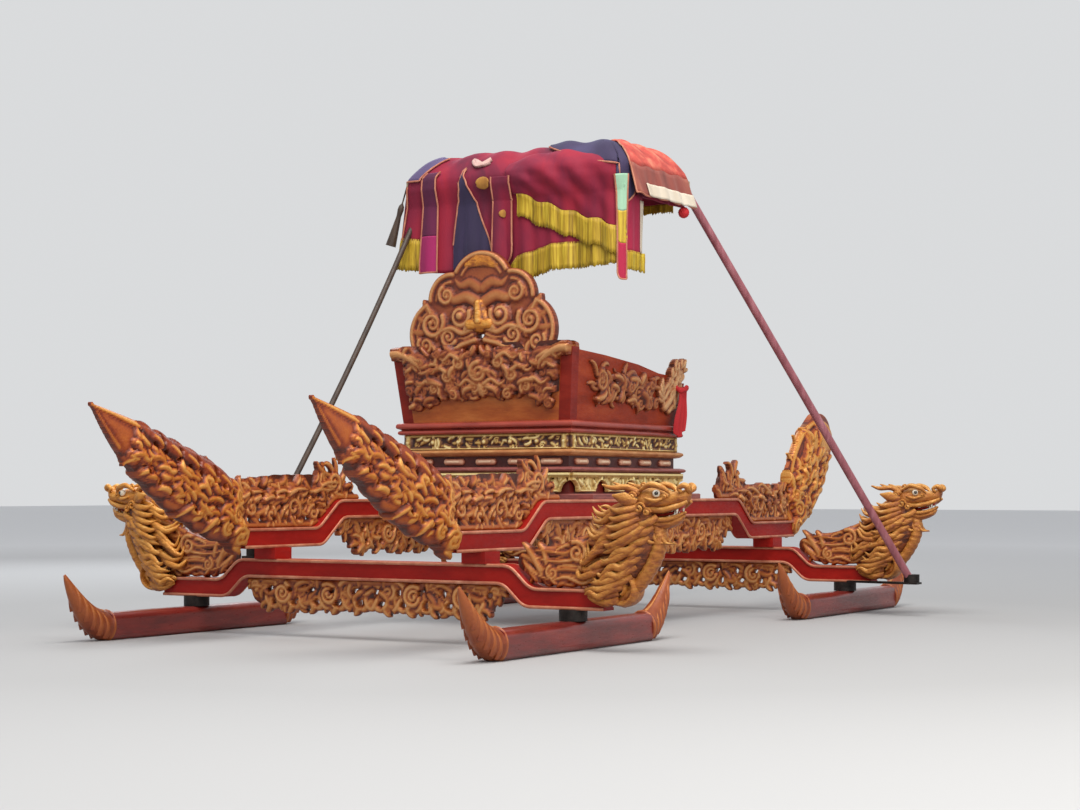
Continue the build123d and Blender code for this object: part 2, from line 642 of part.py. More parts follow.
def write_parts():
    os.makedirs("parts", exist_ok=True)
    nodes = {}
    for group in (main_beams, cross_beams, beam_blocks, horns, main_crests, cross_crests, frets,
                  dragons, carrying_poles, throne_base, throne, backrest, canopy):
        nodes.update(group())
    for name, shape in nodes.items():
        solids = shape if isinstance(shape, list) else [shape]
        solids = [solid for piece in solids for solid in piece.solids()]
        placed = [Pos(0, MIDDLE_Y, 0) * solid for solid in solids]
        export_step(placed[0] if len(placed) == 1 else Compound(children=placed),
                    os.path.join("parts", f"{name}.step"))


write_parts()
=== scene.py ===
import bmesh
import bpy
import math
import numpy as np
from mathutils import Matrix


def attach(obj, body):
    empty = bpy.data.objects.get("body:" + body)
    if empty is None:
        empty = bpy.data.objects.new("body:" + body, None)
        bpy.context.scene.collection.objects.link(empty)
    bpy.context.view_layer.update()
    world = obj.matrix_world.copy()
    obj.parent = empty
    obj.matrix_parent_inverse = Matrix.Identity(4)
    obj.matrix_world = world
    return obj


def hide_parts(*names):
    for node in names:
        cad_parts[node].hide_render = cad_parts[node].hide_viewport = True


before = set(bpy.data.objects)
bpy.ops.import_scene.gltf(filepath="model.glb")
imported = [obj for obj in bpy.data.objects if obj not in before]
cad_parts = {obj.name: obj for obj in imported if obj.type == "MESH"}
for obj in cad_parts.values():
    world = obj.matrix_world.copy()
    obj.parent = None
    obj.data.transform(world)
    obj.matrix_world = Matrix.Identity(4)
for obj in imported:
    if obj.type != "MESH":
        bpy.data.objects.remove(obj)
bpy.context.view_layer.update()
scene = bpy.context.scene
scene.view_settings.view_transform = "Standard"

# Camera. It stands behind the palanquin and to its right, at a standing child's eye height,
# and looks level along the line that the beams make in the photograph. The frame is moved up
# by the lens shift, so that uprights stay parallel.
middle_y = 0.117
view_turn = math.radians(31.39)
view_distance = 7.334
view_height = 0.491
sensor_mm, focal_px, frame_px = 36, 1971.3, 1080
right_px, up_px = -3.6, 84.7
camera_data = bpy.data.cameras.new("camera")
camera_data.lens = sensor_mm * focal_px / frame_px
camera_data.shift_x = right_px / frame_px
camera_data.shift_y = up_px / frame_px
camera = bpy.data.objects.new("camera", camera_data)
camera.location = (view_distance * math.sin(view_turn),
                   middle_y - view_distance * math.cos(view_turn), view_height)
camera.rotation_euler = (math.pi / 2, 0, view_turn)
scene.collection.objects.link(camera)
scene.camera = camera

# Floor and light. A plain pale floor, a little paler away from the lamps, meets a pale world;
# three large soft lamps light the object from behind it, from the open sky side and from the
# front.


def fill(node, inputs):
    """Sets a node's inputs to numbers and colours, or links them to other nodes' outputs."""
    for key, value in inputs.items():
        if isinstance(value, bpy.types.NodeSocket):
            node.id_data.links.new(value, node.inputs[key])
        else:
            node.inputs[key].default_value = value


def add_node(tree, kind, inputs=None, **settings):
    """A shader node with its settings and inputs."""
    node = tree.nodes.new("ShaderNode" + kind)
    for key, value in settings.items():
        setattr(node, key, value)
    fill(node, inputs or {})
    return node


def reckoned(tree, operation, *inputs, **settings):
    """The result of a sum on its inputs."""
    return add_node(tree, "Math", dict(enumerate(inputs)), operation=operation, **settings).outputs[0]


def spread(tree, source, low, high, first, last):
    """A source between low and high, as a number that runs from first to last."""
    return add_node(tree, "MapRange", {"Value": source, "From Min": low, "From Max": high,
                                       "To Min": first, "To Max": last}).outputs[0]


def new_finish(name):
    """A new material, its node tree and its shader."""
    material = bpy.data.materials.new(name)
    material.use_nodes = True
    return material, material.node_tree, material.node_tree.nodes["Principled BSDF"]


floor_half = 40
floor_mesh = bpy.data.meshes.new("floor")
floor_mesh.from_pydata([(floor_half * x, floor_half * y, 0) for x, y in ((-1, -1), (1, -1), (1, 1), (-1, 1))],
                       [], [(0, 1, 2, 3)])
floor = bpy.data.objects.new("floor", floor_mesh)
scene.collection.objects.link(floor)
floor_finish, tree, floor_shader = new_finish("pale_floor")
floor_place = add_node(tree, "TexCoord").outputs["Object"]
from_middle = add_node(tree, "VectorMath", {0: floor_place}, operation="LENGTH").outputs["Value"]
fill(floor_shader, {"Roughness": 0.9, "Base Color": spread(tree, from_middle, 2.5, 11, 0.42, 0.92)})
floor_mesh.materials.append(floor_finish)

world = bpy.data.worlds.new("pale_room")
world.use_nodes = True
tree = world.node_tree
room_light = tree.nodes["Background"]
fill(room_light, {"Color": (0.80, 0.82, 0.86, 1), "Strength": 0.60})
seen_room = add_node(tree, "Background", {"Color": (0.70, 0.71, 0.72, 1), "Strength": 1.0})
ray = add_node(tree, "LightPath").outputs
seen_first = reckoned(tree, "MAXIMUM", ray["Is Camera Ray"], ray["Is Glossy Ray"])
seen_any = reckoned(tree, "MAXIMUM", seen_first, ray["Is Transmission Ray"])
room_choice = add_node(tree, "MixShader", {0: seen_any, 1: room_light.outputs[0], 2: seen_room.outputs[0]})
fill(tree.nodes["World Output"], {"Surface": room_choice.outputs[0]})
scene.world = world


def soft_lamp(name, place, aim, size, power, colour):
    """A round lamp, tilted by the angle whose tangent is its way out over its way down to aim."""
    data = bpy.data.lights.new(name, "AREA")
    data.shape = "DISK"
    data.size = size
    data.energy = power
    data.color = colour
    lamp = bpy.data.objects.new(name, data)
    lamp.location = place
    way = np.array(aim) - np.array(place)
    flat = math.hypot(way[0], way[1])
    lamp.rotation_euler = (math.atan2(flat, -way[2]), 0, math.atan2(-way[0], way[1]))
    scene.collection.objects.link(lamp)


lamp_aim = (0, 0, 0.6)
soft_lamp("sky_lamp", (1.5, -2.0, 5.6), lamp_aim, 4.0, 300, (1.0, 0.98, 0.95))
soft_lamp("side_lamp", (5.5, -3.5, 3.0), lamp_aim, 2.5, 150, (1.0, 0.96, 0.9))
soft_lamp("far_lamp", (-4.5, 3.0, 4.0), lamp_aim, 4.0, 110, (0.92, 0.96, 1.0))

# Carrying poles. Four stout lacquered poles, each on its own round swivel block, with
# upswept carved tips. They are turned and planed wood, varnished dark red over many years.


def srgb(code):
    """A written colour such as 9a2a26, as the linear numbers that a shader takes."""
    parts = np.array([int(code[i:i + 2], 16) for i in (0, 2, 4)]) / 255
    linear = np.where(parts < 0.04045, parts / 12.92, ((parts + 0.055) / 1.055) ** 2.4)
    return (*linear.tolist(), 1.0)


def ramp(tree, source, stops):
    """The colour that source picks from a row of written colours, each with its place."""
    node = add_node(tree, "ValToRGB", {"Fac": source})
    while len(node.color_ramp.elements) < len(stops):
        node.color_ramp.elements.new(0.5)
    for element, (place, code) in zip(node.color_ramp.elements, stops):
        element.position = place
        element.color = srgb(code)
    return node.outputs["Color"]


def places_on_piece(tree, stretch):
    """The piece's own coordinates, plain and with each multiplied by its stretch."""
    place = add_node(tree, "TexCoord").outputs["Object"]
    return place, add_node(tree, "Mapping", {"Vector": place, "Scale": stretch}).outputs[0]


def noise(tree, place, **inputs):
    """A noise texture at a place, with its scale and detail as inputs."""
    return add_node(tree, "TexNoise", {"Vector": place, **inputs}).outputs["Fac"]


def dented(tree, height, strength, distance=0.003):
    """A normal that leans with the slope of a height."""
    inputs = {"Height": height, "Strength": strength, "Distance": distance}
    return add_node(tree, "Bump", inputs).outputs[0]


def lacquered(name, stops, scale, roughness, bump, stretch=(1, 1, 1), metallic=0.0, coat=0.0,
              gloss=0.5):
    """A painted or varnished finish: soft noise along the piece runs through the colours in
    stops, a finer noise moves the roughness a little either way and dents the surface."""
    material, tree, shader = new_finish(name)
    stretched = places_on_piece(tree, stretch)[1]
    broad = noise(tree, stretched, Scale=scale, Detail=6, Roughness=0.62)
    fine = noise(tree, stretched, Scale=scale * 9, Detail=4)
    fill(shader, {"Metallic": metallic, "Coat Weight": coat, "Coat Roughness": 0.2,
                  "Specular IOR Level": gloss, "Base Color": ramp(tree, broad, stops),
                  "Roughness": spread(tree, fine, 0.3, 0.7, roughness - 0.08, roughness + 0.12),
                  "Normal": dented(tree, fine, bump)})
    return material


def dress(material, *names):
    """Gives CAD nodes this finish in every slot that they have."""
    for name in names:
        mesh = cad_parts[name].data
        mesh.materials.clear()
        mesh.materials.append(material)


pole_lacquer = lacquered("pole_lacquer", [(0.25, "4a1512"), (0.55, "7a241d"), (0.8, "8f3a2a")],
                         9, 0.34, 0.25, (3, 0.5, 3), coat=0.3)
swivel_iron = lacquered("swivel_iron", [(0.3, "1c1a19"), (0.7, "3b3532")], 40, 0.5, 0.5, metallic=0.8)
corners = [(end, side, e, s) for end, e in (("rear", -1), ("front", 1))
           for side, s in (("left", -1), ("right", 1))]
dress(pole_lacquer, *[f"carrying_pole_{end}_{side}" for end, side, e, s in corners])
dress(swivel_iron, *[f"swivel_block_{end}_{side}" for end, side, e, s in corners])

# Carved tips of the carrying poles. Each pole end sweeps up like a leaf bud, carved from one
# block with a gilded rib along its back and a rolled collar where it meets the shaft.


def facing_out(points, faces):
    """The faces of a closed shell, turned round where its signed volume comes out negative."""
    fans = np.concatenate([f[:, [0, i, i + 1]] for f in faces for i in range(1, f.shape[1] - 1)])
    a, b, c = (points[fans[:, i]] - points.mean(0) for i in range(3))
    inward = np.einsum("ij,ij->", a, np.cross(b, c)) < 0
    return [f[:, ::-1] for f in faces] if inward else faces


def joined(shells):
    """Several shells of points, faces and gilding, which carries painted shade and highlight, as one."""
    starts = np.cumsum([0] + [len(points) for points, _, _ in shells])
    faces = [f + start for (_, group, _), start in zip(shells, starts) for f in group]
    return (np.concatenate([points for points, _, _ in shells]), faces,
            np.concatenate([gilt_and_shading for _, _, gilt_and_shading in shells]))


def add_piece(name, shells, material, nodes, slot, body="carriage", gilded=True, sharp=50):
    """One object from shells of points, faces and gilding. It rides on its body and stands in for
    these CAD nodes, and a gilded one keeps the gilding, with its painted shade and highlight, as an
    attribute. The slot is not used."""
    points, faces, gilt_and_shading = joined(shells)
    faces = [f for f in faces if len(f)]
    mesh = bpy.data.meshes.new(name)
    mesh.vertices.add(len(points))
    mesh.vertices.foreach_set("co", np.ascontiguousarray(points, np.float32).ravel())
    corners_of = np.concatenate([f.ravel() for f in faces])
    sizes = np.concatenate([np.full(len(f), f.shape[1]) for f in faces])
    mesh.loops.add(len(corners_of))
    mesh.loops.foreach_set("vertex_index", corners_of.astype(np.int32))
    mesh.polygons.add(len(sizes))
    mesh.polygons.foreach_set("loop_start", (np.cumsum(sizes) - sizes).astype(np.int32))
    mesh.update(calc_edges=True)
    mesh.shade_smooth()
    if sharp:
        mesh.set_sharp_from_angle(angle=math.radians(sharp))
    # The stored gilding carries painted shade and painted highlight along with the gold.
    if gilded:
        mesh.attributes.new("gilt_and_shading", "FLOAT", "POINT")
        mesh.attributes["gilt_and_shading"].data.foreach_set("value", gilt_and_shading.astype(np.float32))
    mesh.materials.append(material)
    piece = bpy.data.objects.new(name, mesh)
    scene.collection.objects.link(piece)
    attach(piece, body)
    if nodes:
        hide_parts(*nodes)
    return piece


def tube(path, across, upright, side=(0, 1, 0), sides=12):
    """Rings of points round a path, as an array of ring, point and coordinate. A ring's point at
    angle a is the path's point plus cos(a) times the in-plane normal times upright, plus sin(a)
    times the sideways direction times across."""
    path = np.asarray(path, float)
    run = np.gradient(path, axis=0)
    run /= np.linalg.norm(run, axis=1)[:, None]
    out = np.cross(run, np.asarray(side, float))
    out /= np.linalg.norm(out, axis=1)[:, None]
    sideways = np.cross(out, run)
    angle = np.linspace(0, 2 * np.pi, sides, endpoint=False)
    across = np.broadcast_to(across, len(path))[:, None, None]
    upright = np.broadcast_to(upright, len(path))[:, None, None]
    return (path[:, None] + np.cos(angle)[None, :, None] * upright * out[:, None]
            + np.sin(angle)[None, :, None] * across * sideways[:, None])


def closed_tube(ring, gilt_and_shading):
    """A tube as a shell, closed by a fan round the middle of each end ring."""
    count, sides = ring.shape[:2]
    index = np.arange(count * sides).reshape(count, sides)
    turned = np.roll(index, -1, axis=1)
    quads = np.stack([index[:-1], turned[:-1], turned[1:], index[1:]], -1).reshape(-1, 4)
    tail = np.stack([turned[0], index[0], np.full(sides, count * sides)], -1)
    head = np.stack([index[-1], turned[-1], np.full(sides, count * sides + 1)], -1)
    points = np.concatenate([ring.reshape(-1, 3), ring[0].mean(0)[None], ring[-1].mean(0)[None]])
    gilt_and_shading = np.broadcast_to(gilt_and_shading, (sides, count)).T.ravel()
    return (points, facing_out(points, [quads, np.concatenate([tail, head])]),
            np.concatenate([gilt_and_shading, gilt_and_shading[:1], gilt_and_shading[-1:]]))


def gilded(name, stops, scale=16, metallic=0.35, bump=0.5, combed=0.0):
    """A carved and gilded finish. The piece's own gilding attribute, which also carries painted
    shade in the hollows and painted highlight on the crowns, is moved a little by noise and runs
    from the dark recesses through the lacquer to the gold leaf; fine noise leaves tool marks.
    Where it is combed, noise stretched into streaks grooves it by that share and darkens the
    grooves, as painted shade over the dark lacquer in them."""
    material, tree, shader = new_finish(name)
    place, stretched = places_on_piece(tree, (1, 1, 3.2))
    gilt_and_shading = add_node(tree, "Attribute", attribute_name="gilt_and_shading").outputs["Fac"]
    patch = noise(tree, place, Scale=scale, Detail=5, Roughness=0.65)
    streaks = noise(tree, stretched, Scale=36, Detail=1.5, Distortion=0.7)
    chips = noise(tree, place, Scale=scale * 8, Detail=3)
    worn = reckoned(tree, "MULTIPLY_ADD", patch, 0.55, -0.28 - 0.86 * combed)
    # Streaks darken where they groove the surface: painted shade in the comb grooves.
    shaded = reckoned(tree, "MULTIPLY_ADD", streaks, 1.6 * combed, worn)
    total = reckoned(tree, "ADD", gilt_and_shading, shaded, use_clamp=True)
    height = reckoned(tree, "MULTIPLY_ADD", streaks, combed, chips)
    fill(shader, {"Base Color": ramp(tree, total, stops),
                  "Metallic": spread(tree, total, 0.35, 0.9, 0.05, metallic),
                  "Roughness": spread(tree, chips, 0, 1, 0.30, 0.57),
                  "Normal": dented(tree, height, bump)})
    return material


carved_gold = gilded("carved_gold", [(0.0, "461b0c"), (0.20, "813819"), (0.45, "a25525"), (0.74, "bc7335"),
                                     (1.0, "d5995e")])
pole_shaft_half = 0.45
pole_half = 0.628
pole_tip_top = 0.222
swivel_x = 0.756
cross_y = 1.065


def pole_tip(x, y, e):
    """A bud whose middle line rises as a power of the way along it and whose section shrinks
    from the shaft's to a point, with a rolled collar, a rib that stands off its back and veins
    that run from the rib down its sides. Nothing is let below the ground."""
    t = np.linspace(0, 1, 26)
    lap = 0.012
    along = pole_shaft_half - lap + (pole_half - pole_shaft_half + lap) * t
    middle = 0.045 + (pole_tip_top - 0.049) * t ** 1.9
    path = np.stack([np.full_like(t, x), y + e * along, middle], -1)
    size = 0.046 * (1 - t ** 1.6) ** 0.8 + 0.004
    collar = 0.006 * np.exp(-((t - 0.05) / 0.035) ** 2)
    body = tube(path, size * 0.88 + collar, size + collar, side=(1, 0, 0), sides=20)
    rib_path = path + np.stack([0 * t, -e * 0.5 * size * t, 0.92 * size], -1)
    rib = tube(rib_path[3:], 0.007 * (1.1 - t[3:]), 0.008 * (1.1 - t[3:]), side=(1, 0, 0), sides=8)
    shade = 0.22 + 0.25 * t ** 2 + 0.4 * (collar > 0.003)
    shells = [closed_tube(body, shade), closed_tube(rib, 0.8)]
    bend = np.linspace(0, 1, 7)
    for k in range(5):
        for s in (-1, 1):
            reach = np.interp(np.clip(0.10 + 0.14 * k + 0.20 * bend, 0, 1), t, np.arange(26))
            at = np.stack([np.interp(reach, np.arange(26), path[:, i]) for i in range(3)], -1)
            round_it = s * (2.5 - 2.0 * bend)
            wide = 0.96 * np.interp(reach, np.arange(26), size)
            back = -e * 0.4 * wide * np.cos(round_it) * (1 - bend)
            at = at + np.stack([0.88 * wide * np.sin(round_it), back, wide * np.cos(round_it)], -1)
            vein = tube(at, 0.011 * (1.15 - bend), 0.0055 * (1.1 - bend), side=(0.3, 0.8, 0.5), sides=8)
            shells.append(closed_tube(vein, np.linspace(0.25, 0.7, 7)))
    ground = np.array([-np.inf, -np.inf, 0.001])
    return [(np.maximum(points, ground), faces, gilt_and_shading) for points, faces, gilt_and_shading in shells]


for end, side, e, s in corners:
    x, y = swivel_x * s, middle_y + cross_y * e
    add_piece(f"carved_tips_{end}_{side}", pole_tip(x, y, 1) + pole_tip(x, y, -1), carved_gold,
              [f"pole_tips_{end}_{side}"], "gold_leaf", f"pole_{end}_{side}")

# Beams. Two cross beams lie on the swivels and two main beams lie across them on joint
# blocks. They are red-lacquered planks that step up in the middle, and a gilded bead runs
# along each edge of both faces.


def rounded(corner_points, radius):
    """A line through corners whose bends are eased: at each bend the curve leaves one run and
    meets the next at radius times the tangent of half the turn from the corner."""
    corner_points = np.asarray(corner_points, float)
    line = [corner_points[:1]]
    share = np.linspace(0, 1, 9)[:, None]
    for before, corner, after in zip(corner_points, corner_points[1:], corner_points[2:]):
        first = (corner - before) / np.linalg.norm(corner - before)
        second = (after - corner) / np.linalg.norm(after - corner)
        reach = radius * math.tan(math.acos(np.clip(first @ second, -1, 1)) / 2)
        line.append((1 - share) ** 2 * (corner - first * reach) + 2 * share * (1 - share) * corner
                    + share ** 2 * (corner + second * reach))
    line.append(corner_points[-1:])
    return np.concatenate(line)


def stepped(end, low, rise, out, inner):
    """The edge of a beam that steps up by rise between out and inner, from -end to end."""
    return rounded([(-end, low), (-out, low), (-inner, low + rise), (inner, low + rise), (out, low),
                    (end, low)], 0.07)


main_x, main_end, main_width = 0.418, 1.25, 0.064
cross_end, cross_width = 0.88, 0.062
main_top = stepped(main_end, 0.363, 0.094, 0.855, 0.736)
main_under = stepped(main_end, 0.297, 0.094, 0.8321, 0.7131)
cross_top = stepped(cross_end, 0.189, 0.070, 0.620, 0.545)
cross_under = stepped(cross_end, 0.125, 0.070, 0.5948, 0.5198)

beam_red = lacquered("beam_red", [(0.25, "7a110b"), (0.5, "98160e"), (0.75, "aa1f13")],
                     5, 0.50, 0.12, (1, 1, 3), gloss=0.22)
dress(beam_red, "main_beam_left", "main_beam_right", "cross_beam_rear", "cross_beam_front", "beam_blocks")
bead_gold = lacquered("bead_gold", [(0.25, "a04a35"), (0.55, "c17a5c"), (0.8, "dba383")],
                      18, 0.4, 0.3, metallic=0.2)


def edge_beads(edge_line, drop, half, place):
    """Half-round beads along an edge, one on each face, drop below or above the edge."""
    shells = []
    for face in (-1, 1):
        level = edge_line[:, 1] + drop
        path = place(edge_line[:, 0], level, np.full(len(level), face * half))
        side = place(0, 0, 1.0) - place(0, 0, 0.0)
        shells.append(closed_tube(tube(path, 0.0035, 0.0052, side=side, sides=8), 1.0))
    return shells


def spots(x, y, z):
    """Places from three coordinates, each of which is one number or an array."""
    return np.stack(np.broadcast_arrays(x, y, z), -1)


def on_main(s, e=1):
    """Where a drawing of a main beam's side goes: along the beam, up, and out from its middle."""
    return lambda u, v, h: spots(s * (main_x + h), middle_y + e * u, v)


def on_cross(e, s=1):
    """Where a drawing of a cross beam's side goes: across, up, and out from its middle."""
    return lambda u, v, h: spots(s * u, middle_y + e * (cross_y + h), v)


for name, top, under, half, place in (
        ("main_left", main_top, main_under, main_width / 2, on_main(-1)),
        ("main_right", main_top, main_under, main_width / 2, on_main(1)),
        ("cross_rear", cross_top, cross_under, cross_width / 2, on_cross(-1)),
        ("cross_front", cross_top, cross_under, cross_width / 2, on_cross(1))):
    shells = edge_beads(top, -0.0045, half, place) + edge_beads(under, 0.0045, half, place)
    add_piece(f"edge_beads_{name}", shells, bead_gold, [], "gold_leaf", gilded=False)

# Carved crests on the beams' low ends. Each is a pierced plank of scrolls and curling flame
# leaves, carved on both faces, lacquered orange-brown and gilded on what stands highest. It
# is pegged into the beam's top edge.


def stroke(points, widths, level, gain, gold):
    """One tapered ridge of a carving: its line, half width at each point, the level it starts
    from, how strongly it swells, and how much gold it carries."""
    points = np.asarray(points, float)
    return points, np.broadcast_to(np.asarray(widths, float), len(points)), level, gain, gold


def volute(u, v, radius, turns, start, hand, width, level, gain, gold):
    """A spiral whose radius falls evenly to a sixth as it turns, thinning with it, and ends in a
    round eye."""
    t = np.linspace(0, 1, int(12 * turns) + 5)
    angle = start + hand * 2 * np.pi * turns * t
    reach = radius * (1 - 0.84 * t)
    line = np.stack([u + reach * np.cos(angle), v + reach * np.sin(angle)], -1)
    widths = width * (1 - 0.4 * t)
    widths[-2:] = width * 0.95
    return stroke(line, widths, level, gain, gold)


def leaf(root, heading, length, curl, width, level, gain, gold):
    """A blade that leaves its root along heading, turns by curl as the square of the way along,
    is widest below its middle and ends in a point."""
    t = np.linspace(0, 1, 13)
    angle = heading + curl * t ** 2
    steps = length / 12 * np.stack([np.cos(angle), np.sin(angle)], -1)
    line = np.asarray(root, float) + np.cumsum(steps, axis=0) - steps[0]
    widths = width * np.sqrt(np.clip(3.4 * (t + 0.12) * (1 - t), 0, None)) * (1 - 0.25 * t) + 0.0012
    return stroke(line, widths, level, gain, gold)


def foliage(dice, u0, u1, low, high, pitch, width, lean, gold, leaves=7):
    """Scrolls in a row between the curves low(u) and high(u), turning either way by turns, each
    ringed by leaves that leave along the ring and curl round with it or flick against it."""
    gain = 0.8
    strokes = []
    count = max(1, round((u1 - u0) / pitch))
    for i in range(count):
        u = u0 + (i + 0.5 + dice.uniform(-0.10, 0.10)) * (u1 - u0) / count
        base, top = low(u), high(u)
        tall = top - base
        radius = min(0.27 * tall, 0.36 * pitch) * dice.uniform(0.9, 1.15)
        v = base + tall * (0.38 if i % 2 else 0.56)
        hand = 1 if i % 2 else -1
        start = dice.uniform(0, 2 * np.pi)
        level = dice.choice([0.004, 0.008, 0.012])
        strokes.append(volute(u, v, radius, 1.35, start, hand, width, level, gain, gold))
        for k in range(leaves):
            angle = start + 2 * np.pi * (k + dice.uniform(-0.2, 0.2)) / leaves
            root = (u + radius * np.cos(angle), v + radius * np.sin(angle))
            up = max(0.0, np.sin(angle))
            room = min(0.55 * tall, 0.62 * pitch) + 0.25 * tall * up
            heading = angle + hand * dice.uniform(0.5, 1.1) + lean * up
            curl = hand * dice.uniform(0.6, 1.9) * (1 if dice.random() < 0.7 else -1)
            strokes.append(leaf(root, heading, room * dice.uniform(0.75, 1.1), curl,
                                width * dice.uniform(0.85, 1.15), dice.choice([0.002, 0.005, 0.008]),
                                gain, gold * dice.uniform(0.7, 1.0)))
    return strokes


def thicket(dice, u0, u1, low, high, size, flow, gold, level=0.014):
    """Curled leaves and small scrolls strewn over the strip between the curves low(u) and
    high(u), one in each cell of a grid of that size, turned by chance about flow(u, v)."""
    strokes = []
    gain = 0.9
    for i in range(max(1, round((u1 - u0) / size))):
        middle = u0 + (i + 0.5) * size
        tall = high(middle) - low(middle)
        rows = max(1, round(tall / (0.8 * size)))
        for j in range(rows):
            u = middle + dice.uniform(-0.4, 0.4) * size
            v = low(middle) + (j + dice.uniform(0.2, 0.8)) * tall / rows
            heading = flow(u, v) + dice.normal(0, 0.55)
            stand = dice.uniform(0.2, 1.0) * level
            hand = dice.choice([-1, 1])
            tone = gold * dice.uniform(0.45, 1.0)
            if dice.random() < 0.22:
                strokes.append(volute(u, v, 0.42 * size, 1.3, heading, hand, 0.15 * size, stand, gain, tone))
            else:
                length = size * dice.uniform(0.9, 1.5)
                curl = hand * dice.uniform(0.6, 2.0)
                width = size * dice.uniform(0.17, 0.27)
                strokes.append(leaf((u, v), heading, length, curl, width, stand, gain, tone))
    return strokes


def ridge(points, widths, at):
    """How far inside a tapered line of half width w each place is, w - d at distance d, and how
    high its round ridge stands there, the root of w * w - d * d. The nearest stretch counts."""
    if len(points) == 1:
        distance = np.linalg.norm(at - points[0], axis=-1)
        width = np.full_like(distance, widths[0])
    else:
        run = points[1:] - points[:-1]
        rel = at[:, :, None] - points[:-1]
        share = np.clip((rel * run).sum(-1) / np.maximum((run ** 2).sum(-1), 1e-12), 0, 1)
        every = np.linalg.norm(rel - share[..., None] * run, axis=-1)
        wide = widths[:-1] + share * (widths[1:] - widths[:-1])
        best = (wide - every).argmax(-1)[..., None]
        distance = np.take_along_axis(every, best, -1)[..., 0]
        width = np.take_along_axis(wide, best, -1)[..., 0]
    swell = np.sqrt(np.clip(width ** 2 - distance ** 2, 0, None))
    return width - distance, swell, swell / np.maximum(width, 1e-6)


def carve(strokes, low, high, step, within=None, bed=None, edge=0.004, cuts=(), rim_light_and_shade=0.55):
    """Strokes laid on a grid from corner low to corner high. Each stands level + gain * ridge
    high, the highest wins, and what lies under all of them, the bed, is added. The cuts are
    strokes that go right through. Cells whose middle is inside are kept, and the grid points on
    their border move down the slope of the inside distance until they are on the outline. A
    point's gilding is highest on the crown of its ridge and grows by how far it stands above the
    mean of the points round it: partly the gold on the high points, partly painted highlight on
    the crowns and painted shade in the hollows. On the border it is scaled by a factor, which
    paints shade on the walls of the openings where it is below one and a highlight on them where
    it is above."""
    u = np.arange(low[0], high[0] + step, step)
    v = np.arange(low[1], high[1] + step, step)
    inside = np.full((len(u), len(v)), -1.0)
    height = np.zeros_like(inside)
    rim = np.zeros_like(inside)
    gilt_and_shading = np.zeros_like(inside)

    def round_about(points, widths):
        """The grid's part that a stroke reaches, and the places of its points."""
        reach = widths.max() + 2.5 * step
        near = tuple(slice(*np.searchsorted(axis, (points[:, k].min() - reach, points[:, k].max() + reach)))
                     for k, axis in enumerate((u, v)))
        return near, np.stack(np.meshgrid(u[near[0]], v[near[1]], indexing="ij"), -1)

    for points, widths, level, gain, gold in strokes:
        near, at = round_about(points, widths)
        if at.size:
            depth, swell, share = ridge(points, widths, at)
            tall = level + gain * swell
            wins = (depth > -1.5 * step) & (tall > height[near])
            height[near] = np.where(wins, tall, height[near])
            rim[near] = np.where(wins, level, rim[near])
            # Gold brightest on each ridge's crown: partly the gilding of the high points, partly painted
            # highlight.
            gilt_and_shading[near] = np.where(wins, gold * (0.22 + 0.78 * share ** 2), gilt_and_shading[near])
            inside[near] = np.maximum(inside[near], depth)
    for points, widths in cuts:
        near, at = round_about(points, widths)
        if at.size:
            inside[near] = np.minimum(inside[near], -ridge(points, widths, at)[0])
    # Painted shade in the hollows and painted highlight on what stands proud: the gilding below grows with
    # the height above the mean round about.
    around = height
    for _ in range(4):
        around = sum(np.roll(around, way, axis) for way in (-1, 1) for axis in (0, 1)) / 4
    gilt_and_shading = gilt_and_shading + 60 * (height - around)
    grid_u, grid_v = np.meshgrid(u, v, indexing="ij")
    if within is not None:
        inside = np.minimum(inside, within(grid_u, grid_v))
    middle = (inside[:-1, :-1] + inside[1:, :-1] + inside[:-1, 1:] + inside[1:, 1:]) / 4
    kept = np.pad(middle > 0, 1)
    touching = kept[1:, 1:].astype(int) + kept[:-1, 1:] + kept[1:, :-1] + kept[:-1, :-1]
    border = (touching > 0) & (touching < 4)
    slope_u, slope_v = np.gradient(inside, step)
    steep = np.maximum(slope_u ** 2 + slope_v ** 2, 0.15)
    shift = np.clip(-inside / steep, -0.8 * step, 0.8 * step) * border
    grid_u = grid_u + shift * slope_u
    grid_v = grid_v + shift * slope_v
    height = np.maximum(np.where(border, rim, height), edge)
    # Scales the border's gilding: below one it paints shade on the walls of the openings, above one it paints
    # a highlight on them.
    gilt_and_shading = np.clip(np.where(border, rim_light_and_shade * gilt_and_shading, gilt_and_shading), 0, 1)
    if bed is not None:
        height = height + bed(grid_u, grid_v)
    index = np.arange(inside.size).reshape(inside.shape)
    i, j = np.argwhere(kept[1:-1, 1:-1]).T
    face = np.stack([index[i, j], index[i + 1, j], index[i + 1, j + 1], index[i, j + 1]], -1)
    rims = []
    for away, first, second in (((-1, 0), 3, 0), ((1, 0), 1, 2), ((0, -1), 0, 1), ((0, 1), 2, 3)):
        open_side = ~kept[i + 1 + away[0], j + 1 + away[1]]
        rims.append(face[open_side][:, [first, second]])
    used, order = np.unique(np.concatenate([face.ravel(), np.concatenate(rims).ravel()]),
                            return_inverse=True)
    return {"u": grid_u.ravel()[used], "v": grid_v.ravel()[used], "height": height.ravel()[used],
            "gilt_and_shading": gilt_and_shading.ravel()[used], "face": order[:face.size].reshape(-1, 4),
            "rims": order[face.size:].reshape(-1, 2)}


